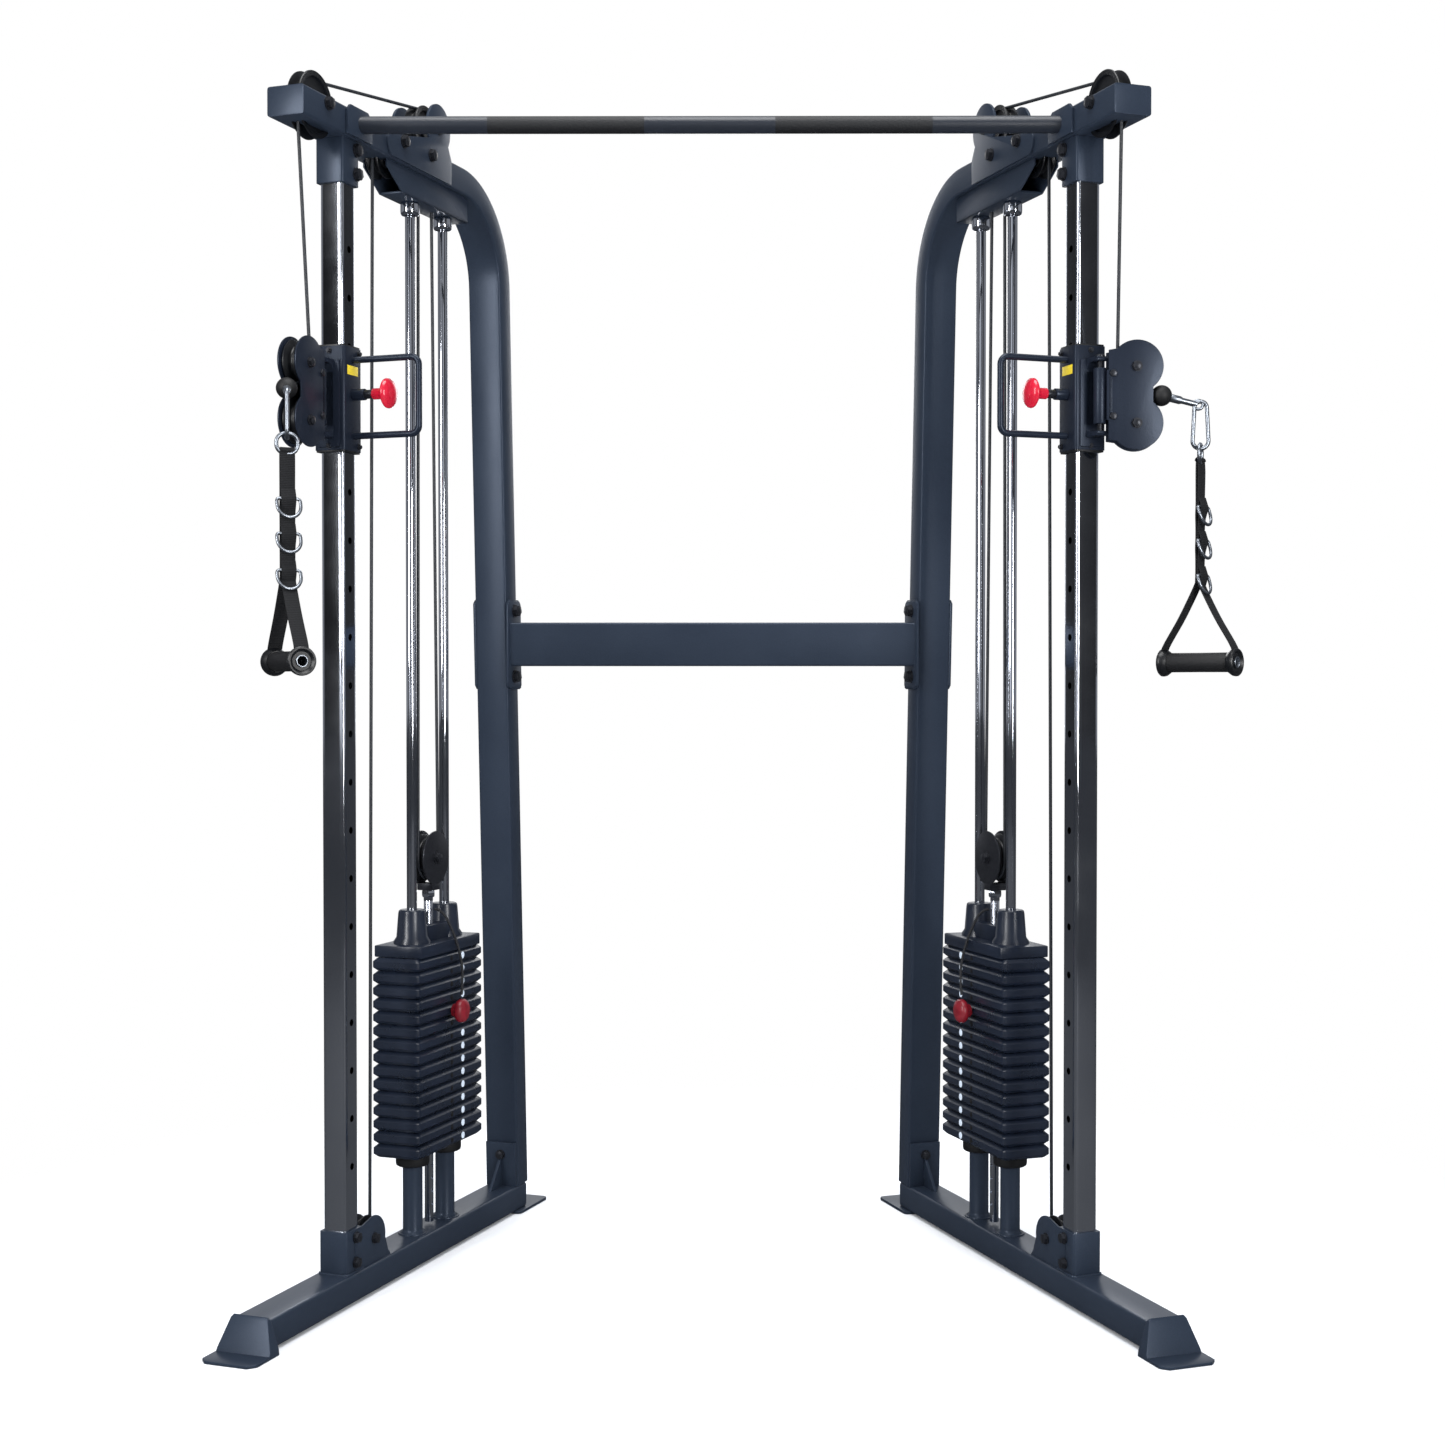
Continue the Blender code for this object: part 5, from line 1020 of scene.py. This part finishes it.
for side in SIDES:
    to_row = frame_of(side)
    z0 = PLATES_TOP
    parts = [box((-0.0495, 0.0495), (STACK_AT - 0.120, STACK_AT + 0.120), (z0, z0 + 0.022), 0.003),
             box((-0.022, 0.022), RODS_AT, (z0, z0 + 0.052), 0.003)]
    for at in RODS_AT:
        profile = [(0.0103, z0), (0.035, z0), (0.0345, z0 + 0.026), (0.029, z0 + 0.034), (0.0255, z0 + 0.078),
                   (0.0245, z0 + 0.083), (0.022, z0 + 0.085), (0.0103, z0 + 0.085)]
        parts.append(turned(profile, (0, at, 0), (0, 0, 1)))
    piece(f"stack_head_casting_{side}", joined(parts, to_row), iron, f"stack_{side}", [f"stack_head_{side}"])
    (at, height), radius, _ = FLOATING
    low = height - radius - 0.003
    fork = []
    for sign in (-1, 1):
        fork.append(slab(arc((at, height), radius + 0.006, 0, 352, 44), "x",
                         *sorted((sign * 0.0145, sign * 0.0175)), 0.0008))
    fork.append(box((-0.0175, 0.0175), (at - 0.013, at + 0.013), (low - 0.014, low), 0.002))
    piece(f"floating_fork_{side}", joined(fork, to_row), bolt_black, f"stack_{side}")
    # The stem: a bright rod with a cross hole for the pin at every plate
    stem = disc((0, at, BASE_TOP + 0.006), (0, 0, 1), STEM_RADIUS, low - BASE_TOP - 0.010)
    start = to_row @ Vector((0, at, STACK_BOTTOM + PLATE_PITCH / 2 - STEM_HOLES * PLATE_PITCH))
    across = (to_row.to_3x3() @ Vector((1, 0, 0))).to_track_quat("Z", "Y").to_euler()
    grown(f"stack_stem_{side}", joined([stem], to_row), drill_tree, chrome, f"stack_{side}",
          {"Count": STEM_HOLES, "Start": start, "Step": (0, 0, PLATE_PITCH), "Turn": across,
           "Radius": STEM_HOLE}, smooth=30)
    eye = [(0, low - 0.014), (0.0125, low - 0.014), (0.0135, low - 0.017), (0.0135, low - 0.024),
           (0.0125, low - 0.027), (0.0100, low - 0.0275), (0.0100, low - 0.034), (0, low - 0.034)]
    piece(f"stem_lock_nut_{side}", joined([turned(eye, (0, at, 0), (0, 0, 1), 6)], to_row), chrome,
          f"stack_{side}")
    bolts(f"floating_bolts_{side}", [((sign * 0.0175, at, height), (sign, 0, 0)) for sign in (-1, 1)], to_row,
          f"stack_{side}")

# ---------------------------------------------------------------- selector pins
# A steel pin with a moulded red knob goes through a plate into the stem.

# Injection-moulded ABS, dyed red: glossy, with a slight flow unevenness
red, tree, shader, place = finish("red_abs_knob")
flow = add(tree, "ShaderNodeTexNoise", {"Vector": place}, Scale=40, Detail=2)
tone = add(tree, "ShaderNodeMixRGB", {"Fac": flow}, Color1=linear("#a80a20"), Color2=linear("#c81a36"))
raised = add(tree, "ShaderNodeBump", {"Height": flow}, Strength=0.06, Distance=0.0005)
wire(tree, shader, Base_Color=tone, Normal=raised, Roughness=0.24, Coat_Weight=0.4, Coat_Roughness=0.08)

# The selector's knob is a deeper red, dulled by handling
dark_red, tree, shader, place = finish("handled_red_abs_knob")
grime = add(tree, "ShaderNodeTexNoise", {"Vector": place}, Scale=90, Detail=4)
tone = add(tree, "ShaderNodeMixRGB", {"Fac": grime}, Color1=linear("#4d0711"), Color2=linear("#8a1222"))
rough = add(tree, "ShaderNodeMapRange", {"Value": grime}, To_Min=0.25, To_Max=0.5)
wire(tree, shader, Base_Color=tone, Roughness=rough)

PIN_HEIGHT = STACK_BOTTOM + (PLATE_COUNT - PLATES_PICKED + 0.5) * PLATE_PITCH
for side in SIDES:
    to_row = frame_of(side)
    reach = PLATE_WIDE / 2
    pin = disc((-0.008, STACK_AT, PIN_HEIGHT), (1, 0, 0), PIN_RADIUS, reach + 0.012)
    piece(f"pin_shank_{side}", joined([pin], to_row), chrome, f"selector_pin_{side}")
    profile = [(0, reach + 0.003), (0.010, reach + 0.003), (0.0120, reach + 0.0045), (0.0128, reach + 0.010),
               (0.0205, reach + 0.0150), (0.0222, reach + 0.018), (0.0222, reach + 0.024),
               (0.0205, reach + 0.0275), (0.0160, reach + 0.0305), (0.010, reach + 0.0322),
               (0, reach + 0.0328)]
    knob = turned(profile, (0, STACK_AT, PIN_HEIGHT), (1, 0, 0), 64)
    piece(f"pin_knob_{side}", joined([knob], to_row), dark_red, f"selector_pin_{side}",
          [f"selector_pin_{side}"])

# ---------------------------------------------------------------- carriages
# A welded sleeve with nylon bushes slides on the mast. It carries a bent-rod handle, the plunger's barrel and
# a folded bracket whose two shelves hold the swivel's hinge pin.

SLEEVE_SIZE = 0.060
CARRIAGE_HOLE = 16  # counted from the lowest, from 0
CARRIAGE_HEIGHT = HOLE_LOWEST + CARRIAGE_HOLE * HOLE_PITCH
SLEEVE_MIDDLE = CARRIAGE_HEIGHT - 0.0075
SLEEVE_HALF = 0.090

# Vinyl sticker: plain yellow, slightly glossy, faintly scuffed
sticker, tree, shader, place = finish("yellow_vinyl_sticker")
scuff = add(tree, "ShaderNodeTexNoise", {"Vector": place}, Scale=300, Detail=3)
tone = add(tree, "ShaderNodeMixRGB", {"Fac": scuff}, Color1=linear("#b99f1e"), Color2=linear("#e6cf2f"))
wire(tree, shader, Base_Color=tone, Roughness=0.35)

for side in SIDES:
    to_row = frame_of(side)
    body = f"carriage_{side}"
    half = SLEEVE_SIZE / 2
    low, high = SLEEVE_MIDDLE - SLEEVE_HALF, SLEEVE_MIDDLE + SLEEVE_HALF
    outer = [[(x, y, z) for x, y in rectangle(SLEEVE_SIZE, SLEEVE_SIZE, 0.006, (0, MAST_AT), 6)]
             for z in (low, high)]
    inner = [[(x, y, z) for x, y in rectangle(0.050, 0.050, 0.003, (0, MAST_AT), 6)] for z in (high, low)]
    parts = [softened(loft(outer + inner, True), 0.0008, 2, 60)]
    middle = BALL_HEIGHT
    front = MAST_AT - half
    # Folded bracket: a back plate with a shelf at each end, and the hinge stands between the shelves
    back_plate = [(front + 0.001, middle - 0.083), (front - 0.004, middle - 0.083),
                  (front - 0.004, middle + 0.067), (front + 0.001, middle + 0.067)]
    parts.append(slab(back_plate, "x", -0.0215, 0.0215, 0.0008))
    shelf_low, shelf_high = middle - 0.057, middle + 0.057
    back = [(front, shelf_low - 0.011), (HINGE_AT - 0.006, shelf_low - 0.011),
            (HINGE_AT - 0.010, shelf_low - 0.007), (HINGE_AT - 0.010, shelf_low - 0.004)]
    back += [(HINGE_AT - 0.008, shelf_low - 0.003), (front - 0.018, shelf_low - 0.003)]
    back += arc((front - 0.018, shelf_low + 0.011), 0.014, -90, 0, 6)[1:]
    back += arc((front - 0.018, shelf_high - 0.011), 0.014, 0, 90, 6)
    back += [(HINGE_AT - 0.008, shelf_high + 0.003), (HINGE_AT - 0.010, shelf_high + 0.004),
             (HINGE_AT - 0.010, shelf_high + 0.007), (HINGE_AT - 0.006, shelf_high + 0.011),
             (front, shelf_high + 0.011)]
    parts.append(slab(back, "x", -0.0105, 0.0105, 0.0008))
    loop = [(half - 0.003, CARRIAGE_HEIGHT + 0.0605)]
    loop += arc((half + 0.114, CARRIAGE_HEIGHT + 0.0465), 0.014, 90, 0, 8)
    loop += arc((half + 0.114, CARRIAGE_HEIGHT - 0.0575), 0.014, 0, -90, 8)
    loop += [(half - 0.003, CARRIAGE_HEIGHT - 0.0715)]
    parts.append(swept([(x, MAST_AT, z) for x, z in loop], circle(0.0058)))
    parts.append(disc((half - 0.002, MAST_AT, CARRIAGE_HEIGHT), (1, 0, 0), 0.010, 0.026))
    parts.append(box((-0.009, 0.009), (MAST_AT + half - 0.001, MAST_AT + half + 0.010),
                     (low + 0.012, low + 0.034)))
    piece(f"carriage_sleeve_{side}", joined(parts, to_row), paint_dark, body, [f"carriage_{side}"])
    bushes = []
    for z0, z1 in ((low - 0.0030, low + 0.004), (high - 0.004, high + 0.0030)):
        rings = [[(x, y, z) for x, y in rectangle(SLEEVE_SIZE - 0.003, SLEEVE_SIZE - 0.003, 0.005,
                                                  (0, MAST_AT), 6)] for z in (z0, z1)]
        rings += [[(x, y, z) for x, y in rectangle(0.0462, 0.0462, 0.003, (0, MAST_AT), 6)] for z in (z1, z0)]
        bushes.append(softened(loft(rings, True), 0.0006, 2, 60))
    piece(f"carriage_bushes_{side}", joined(bushes, to_row), nylon, body)
    label = box((half - 0.0004, half + 0.0003), (MAST_AT - 0.020, MAST_AT + 0.016), (CARRIAGE_HEIGHT + 0.034,
                                                                                     CARRIAGE_HEIGHT + 0.050),
                0.0001)
    piece(f"carriage_sticker_{side}", joined([label], to_row), sticker, body)
    screws = [((0, front, z), (0, -1, 0)) for z in (low + 0.0075, high - 0.0075)]
    screws += [((half, MAST_AT + 0.018, z), (1, 0, 0)) for z in (low + 0.009, high - 0.009)]
    bolts(f"carriage_screws_{side}", screws, to_row, body, 0.007, 0.0025, 0.010)

# ---------------------------------------------------------------- plungers
# The spring plunger's pull knob: a red mushroom on a turned neck.

for side in SIDES:
    to_row = frame_of(side)
    face = SLEEVE_SIZE / 2 + 0.0243
    neck = disc((face - 0.001, MAST_AT, CARRIAGE_HEIGHT), (1, 0, 0), 0.0078, 0.018)
    piece(f"plunger_neck_{side}", joined([neck], to_row), bolt_black, f"plunger_{side}")
    profile = [(0, face + 0.0150), (0.0085, face + 0.0150), (0.0098, face + 0.0165), (0.0098, face + 0.0290),
               (0.0115, face + 0.0335), (0.0165, face + 0.0375), (0.0232, face + 0.0400),
               (0.0256, face + 0.0418), (0.0262, face + 0.0440), (0.0256, face + 0.0465),
               (0.0225, face + 0.0500), (0.0170, face + 0.0530), (0.0100, face + 0.0550),
               (0.0045, face + 0.0557), (0, face + 0.0558)]
    knob = turned(profile, (0, MAST_AT, CARRIAGE_HEIGHT), (1, 0, 0), 64)
    piece(f"plunger_knob_{side}", joined([knob], to_row), red, f"plunger_{side}", [f"plunger_{side}"])

# ---------------------------------------------------------------- swivelling pulley blocks
# Two laser-cut plates with a lobe round each pulley turn on a pin between the carriage's shelves.

for side in SIDES:
    hinge = hinge_of(side)
    body = f"swivel_{side}"
    low, high = SWIVEL_PULLEYS["lower"], SWIVEL_PULLEYS["upper"]
    outline = [(-0.012, low - 0.028), (-0.012, high + 0.028)]
    outline += arc((-SWIVEL_REACH, high), LOBE_RADIUS, 42, 232, 36)
    outline += arc((-SWIVEL_REACH, low), LOBE_RADIUS, 128, 318, 36)
    parts = [slab(outline, "x", *edges) for edges in ((-0.018, -0.015), (0.015, 0.018))]
    parts.append(box((-0.018, 0.018), (-0.019, -0.009), (low + 0.006, high - 0.006)))
    parts.append(disc((0, 0, low + 0.0008), (0, 0, 1), 0.0115, high - low - 0.0016, 0.0015))
    piece(f"swivel_plates_{side}", joined(parts, hinge), paint_dark, body, [f"swivel_{side}"])
    spots = [((sign * 0.018, -SWIVEL_REACH, z), (sign, 0, 0)) for sign in (-1, 1) for z in (low, high)]
    bolts(f"swivel_bolts_{side}", spots, hinge, body, 0.014, 0.005, 0.018)
    clips = []
    for z in (low + 0.012, high - 0.012):
        clips.append(disc((-0.020, -0.020, z), (1, 0, 0), 0.0042, 0.040, 0.001, 20))
        clips.append(disc((-0.021, -0.020, z), (1, 0, 0), 0.0065, 0.004, 0.001, 6))
        clips.append(disc((0.017, -0.020, z), (1, 0, 0), 0.0065, 0.004, 0.001, 6))
    piece(f"swivel_cross_bolts_{side}", joined(clips, hinge), bolt_black, body)
    pin = disc((0, 0, BALL_HEIGHT - 0.068), (0, 0, 1), 0.0045, 0.136)
    head = disc((0, 0, BALL_HEIGHT + 0.066), (0, 0, 1), 0.008, 0.005)
    piece(f"hinge_pin_{side}", joined([pin, head], hinge), bolt_black, f"carriage_{side}")

# ---------------------------------------------------------------- cable ends
# The cable ends in a rubber ball stop and a swaged zinc eye, and a steel snap hook carries the handle.

# Bright zinc: pale grey plated steel, softly mirrored, slightly cloudy
zinc, tree, shader, place = finish("bright_zinc_steel")
cloud = add(tree, "ShaderNodeTexNoise", {"Vector": place}, Scale=120, Detail=4)
tone = add(tree, "ShaderNodeMixRGB", {"Fac": cloud}, Color1=linear("#7f858d"), Color2=linear("#aab0b8"))
rough = add(tree, "ShaderNodeMapRange", {"Value": cloud}, To_Min=0.26, To_Max=0.42)
wire(tree, shader, Base_Color=tone, Roughness=rough, Metallic=1.0)

for side in SIDES:
    body = f"cable_end_{side}"
    profile = [(0, -BALL_RADIUS)] + [(BALL_RADIUS * math.sin(math.radians(a)),
                                      -BALL_RADIUS * math.cos(math.radians(a)))
                                     for a in range(10, 180, 10)] + [(0, BALL_RADIUS)]
    piece(f"ball_stop_{side}", joined([turned(profile, (0, 0, 0), (0, 1, 0), 32)], ball_of(side)), rubber,
          body, [f"cable_end_{side}"])
    eye = Vector((0, -HANDLE_AHEAD + 0.004, -0.016))
    start = Vector((0, -0.012, -0.003))
    axis = (eye - start).normalized()
    length = (eye - start).length
    profile = [(0, 0), (0.0062, 0), (0.0070, 0.002), (0.0070, 0.020), (0.0052, 0.024),
               (0.0052, length - 0.006), (0.0045, length - 0.002), (0, length - 0.001)]
    parts = [turned(profile, start, axis, 32)]
    parts.append(swept([(0, eye.y + 0.0075 * math.cos(a), eye.z + 0.0075 * math.sin(a))
                        for a in [2 * math.pi * k / 24 for k in range(24)]], circle(0.0028, 12), True))
    hook = arc((-HANDLE_AHEAD, -0.021), 0.0105, 0, 180, 14) + arc((-HANDLE_AHEAD, -0.0775), 0.0135, 180, 360,
                                                                  16)
    parts.append(swept([(0, y, z) for y, z in hook], circle(0.0036, 14), True))
    piece(f"cable_fitting_{side}", joined(parts, ball_of(side)), zinc, body)

# ---------------------------------------------------------------- handles
# A webbing strap with three rings sewn in splits into two legs, which run through a foam-covered tube grip.

# Nylon webbing: black, dull, woven in 1.4 mm ribs across
webbing, tree, shader, place = finish("nylon_webbing")
rib = add(tree, "ShaderNodeTexWave", {"Vector": place}, bands_direction="Z", Scale=110, Distortion=0.4)
tone = add(tree, "ShaderNodeMixRGB", {"Fac": rib.outputs["Fac"]}, Color1=linear("#060709"),
           Color2=linear("#131418"))
raised = add(tree, "ShaderNodeBump", {"Height": rib.outputs["Fac"]}, Strength=0.5, Distance=0.0006)
wire(tree, shader, Base_Color=tone, Normal=raised, Roughness=0.9)

# Closed-cell foam: soft black sleeve with open pores
foam, tree, shader, place = finish("black_foam_grip")
pore = add(tree, "ShaderNodeTexVoronoi", {"Vector": place}, Scale=500)
tone = add(tree, "ShaderNodeMixRGB", {"Fac": pore}, Color1=linear("#060608"), Color2=linear("#131417"))
raised = add(tree, "ShaderNodeBump", {"Height": pore}, Strength=0.6, Distance=0.0006)
wire(tree, shader, Base_Color=tone, Normal=raised, Roughness=0.6)

GRIP_DROP = 0.4565
GRIP_LONG = 0.142
STRAP_APEX = -0.323
RING_DROPS = (-0.1985, -0.2555, -0.3155)


def ring_path(half_wide, low, high, corner, steps=6):
    """A closed ring with round corners, as points across and up."""
    points = []
    for sign, z, start in ((1, high, 0), (-1, high, 90), (-1, low, 180), (1, low, 270)):
        centre = (sign * (half_wide - corner), z - corner if z == high else z + corner)
        points += arc(centre, corner, start, start + 90, steps)
    return points


for side in SIDES:
    body = f"handle_{side}"
    rings = [swept([(x, 0, z) for x, z in ring_path(0.0175, -0.1165, -0.0835, 0.0150, 8)], circle(0.0033, 14),
                   True)]
    rings[0].transform(Matrix.Rotation(-HANDLE_TWIST[side] * (0.5 if side == "left" else -0.5), 4, "Z"))
    for z in RING_DROPS:
        bow = arc((0, z - 0.003), 0.0200, 180, 360, 20)
        bow += arc((0.0150, z + 0.003), 0.005, 0, 90, 5) + arc((-0.0150, z + 0.003), 0.005, 90, 180, 5)
        shape = [(x, -0.0052 - 0.30 * max(0.0, z + 0.008 - h), h) for x, h in bow]
        rings.append(swept(shape, circle(0.0028, 12), True))
    piece(f"handle_rings_{side}", joined(rings, handle_of(side)), zinc, body)

    section = [(b, a) for a, b in rectangle(0.0255, 0.0026, 0.0011, steps=3)]
    wave = [(-0.1130, 0.0), (-0.1300, 0.0010), (-0.1650, 0.0004), (-0.1870, 0.0002), (-0.2050, 0.0022),
            (-0.2230, 0.0006), (-0.2440, 0.0002), (-0.2620, 0.0022), (-0.2790, 0.0006), (-0.3040, 0.0002),
            (STRAP_APEX, 0.0022)]
    front_run = smooth_route([(0, -0.0016 - d, z) for z, d in wave], 3)
    back_run = smooth_route([(0, 0.0016 + 0.3 * d, z) for z, d in wave], 3)
    parts = [swept(run, section, up=(1, 0, 0)) for run in (front_run, back_run)]
    eye = [(0, 0.0034 * math.sin(math.radians(a)), -0.1120 + 0.0046 * math.cos(math.radians(a)))
           for a in range(-100, 101, 20)]
    parts.append(swept(eye, section, up=(1, 0, 0)))
    for z in RING_DROPS:  # keeper loops sewn over the straight bar of each ring
        keeper = [(0, -0.0034, z - 0.012), (0, -0.0075, z + 0.002), (0, -0.0082, z + 0.0085),
                  (0, -0.0070, z + 0.0130), (0, -0.0034, z + 0.0240)]
        parts.append(swept(smooth_route(keeper, 4), section, up=(1, 0, 0)))
    reach = GRIP_LONG / 2 - 0.0065
    for sign in (-1, 1):
        leg = [(0, sign * 0.0016, STRAP_APEX + 0.012), (0, sign * 0.0032, STRAP_APEX), (0, sign * reach * 0.5,
                                                                                        STRAP_APEX - 0.056),
               (0, sign * (reach - 0.001), -GRIP_DROP + 0.026), (0, sign * reach, -GRIP_DROP + 0.010)]
        parts.append(swept(smooth_route(leg, 5), section, up=(1, 0, 0)))
    piece(f"strap_{side}", joined(parts, handle_of(side)), webbing, body, [f"handle_strap_{side}"])

    half = GRIP_LONG / 2
    sleeve = [(0.010, -half + 0.012), (0.0160, -half + 0.012), (0.0168, -half + 0.015), (0.0166, 0),
              (0.0168, half - 0.015), (0.0160, half - 0.012), (0.010, half - 0.012)]
    piece(f"grip_foam_{side}", joined([turned(sleeve, (0, 0, -GRIP_DROP), (0, 1, 0), 48)], handle_of(side)),
          foam, body, [f"handle_grip_{side}"])
    # Flared nylon cups close the grip's ends, open outwards, with the steel tube's end bright inside
    caps, tubes = [], []
    for sign in (-1, 1):
        cup = [(0.0102, half - 0.004), (0.0155, half - 0.004), (0.0185, half - 0.0015), (0.0200, half),
               (0.0225, half), (0.0238, half - 0.0015), (0.0240, half - 0.0045), (0.0232, half - 0.0085),
               (0.0205, half - 0.0125), (0.0178, half - 0.0160), (0.0102, half - 0.0165)]
        caps.append(turned([(r, sign * d) for r, d in cup], (0, 0, -GRIP_DROP), (0, 1, 0), 48))
        end = [(0.0080, half - 0.030), (0.0101, half - 0.030), (0.0101, half - 0.0012),
               (0.0096, half - 0.0006), (0.0084, half - 0.0006), (0.0080, half - 0.0012)]
        tubes.append(turned([(r, sign * d) for r, d in end], (0, 0, -GRIP_DROP), (0, 1, 0), 40))
    piece(f"grip_cups_{side}", joined(caps, handle_of(side)), nylon, body)
    piece(f"grip_tube_{side}", joined(tubes, handle_of(side)), zinc, body)

# ---------------------------------------------------------------- cables
# One 6 mm steel rope in a black nylon jacket runs from the handle over eight pulleys back to the carriage.
# The straight runs are left unattached, and the wrapped parts stay with their pulleys' frames.

# Nylon jacket: smooth black, semi-gloss, rubbed slightly grey where it runs
jacket, tree, shader, place = finish("nylon_jacketed_cable")
rub = add(tree, "ShaderNodeTexNoise", {"Vector": place}, Scale=30, Detail=3)
tone = add(tree, "ShaderNodeMixRGB", {"Fac": rub}, Color1=linear("#121417"), Color2=linear("#262a31"))
wire(tree, shader, Base_Color=tone, Roughness=0.42)


def between(first, last, count):
    """Evenly spaced points on a straight run."""
    first, last = Vector(first), Vector(last)
    return [first.lerp(last, k / count) for k in range(count + 1)]


def tangent(first, second):
    """Degrees that the run over two pulleys rises."""
    (y0, z0), _, r0 = first
    (y1, z1), _, r1 = second
    reach = math.hypot(y1 - y0, z1 - z0)
    return math.degrees(math.atan2(z1 - z0, y1 - y0) + math.asin((r1 - r0) / reach))


def in_plane(pairs):
    """The side frame's middle plane, where every fixed pulley is."""
    return [(0, y, z) for y, z in pairs]


def cable(name, side, points, body=None, nodes=(), matrix=None, up=(1, 0, 0)):
    """A length of the cable along the points."""
    mesh = joined([swept(points, circle(CABLE_RADIUS, 12), up=up)], matrix)
    replaced = [f"cable_{node}_{side}" for node in nodes]
    return piece(f"cable_{name}_{side}", mesh, jacket, body, replaced)


LEAD = 0.003  # straight piece beside a pulley's middle

for side in SIDES:
    to_row = frame_of(side)
    hinge = hinge_of(side)
    stack, carriage, swivel = f"stack_{side}", f"carriage_{side}", f"swivel_{side}"
    front_top, rear_top = PULLEYS["front_top_pulley"], PULLEYS["rear_top_pulley"]
    back, fore = PULLEYS["return_pulley_rear"], PULLEYS["return_pulley_front"]
    bottom = PULLEYS["bottom_pulley"]
    front_at = front_top[0][0] - front_top[2]
    rear_at = rear_top[0][0] + rear_top[2]
    rise_at = back[0][0] + back[2]
    up_at = bottom[0][0] - bottom[2]

    tilt = tangent(front_top, rear_top)
    over = [(front_at, front_top[0][1] - LEAD)] + arc(front_top[0], front_top[2], 180, 90 + tilt, 16)
    over += arc(rear_top[0], rear_top[2], 90 + tilt, 0, 16) + [(rear_at, rear_top[0][1] - LEAD)]
    cable("over_run", side, in_plane(over), "frame", ("over",), to_row)
    wrap = [(rise_at, back[0][1] - LEAD)] + arc(back[0], back[2], 0, 90, 10)
    wrap += arc(fore[0], fore[2], 90, 180, 10)
    wrap += arc(bottom[0], bottom[2], 0, -180, 24) + [(up_at, bottom[0][1] + LEAD)]
    cable("back_run", side, in_plane(wrap), "frame", ("back",), to_row)
    # Fall to the floating pulley, rise from it back to the arm, and the turn under it
    spot, _, radius = FLOATING
    for name, at, high, foot_at, nodes in (
        ("fall", rear_at, rear_top[0][1], spot[0] + radius, ("loop",)),
        ("rise", rise_at, back[0][1], spot[0] - radius, ()),
    ):
        points = between((0, at, high - LEAD), (0, foot_at, spot[1]), 60)
        made = cable(name, side, points, None, nodes, to_row)
        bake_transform(made)
    cable("turn", side, in_plane(arc(spot, radius, 0, -180, 24)), stack, (), to_row)
    # Up behind the mast to the carriage's anchor
    anchor = SLEEVE_MIDDLE - 0.078
    points = between((0, up_at, bottom[0][1] + LEAD), (0, up_at, anchor), 60)
    made = cable("up", side, points, None, ("mast",), to_row)
    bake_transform(made)
    # Down the front to the swivel, round its upper pulley and out to the ball
    high = SWIVEL_PULLEYS["upper"]
    top = to_row @ Vector((0, front_at, front_top[0][1] - LEAD))
    foot = hinge @ Vector((0, SWIVEL_ROPE - SWIVEL_REACH, high))
    split, near = top.lerp(foot, 0.86), top.lerp(foot, 0.935)
    made = cable("down", side, between(top, split, 60), nodes=("front",))
    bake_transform(made)
    made = cable("lead", side, between(split, near, 12))
    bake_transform(made)
    turn = arc((-SWIVEL_REACH, high), SWIVEL_ROPE, 0, -90, 12)
    cable("swivel_turn", side, [near] + [hinge @ Vector(point) for point in in_plane(turn)], swivel)
    leave = hinge @ Vector((0, -SWIVEL_REACH, high - SWIVEL_ROPE))
    end = hinge @ Vector((0, -BALL_REACH + 0.010, BALL_HEIGHT + 0.002))
    made = cable("out", side, between(leave, end, 40), up=(0, 0, 1))
    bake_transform(made)

low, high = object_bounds()
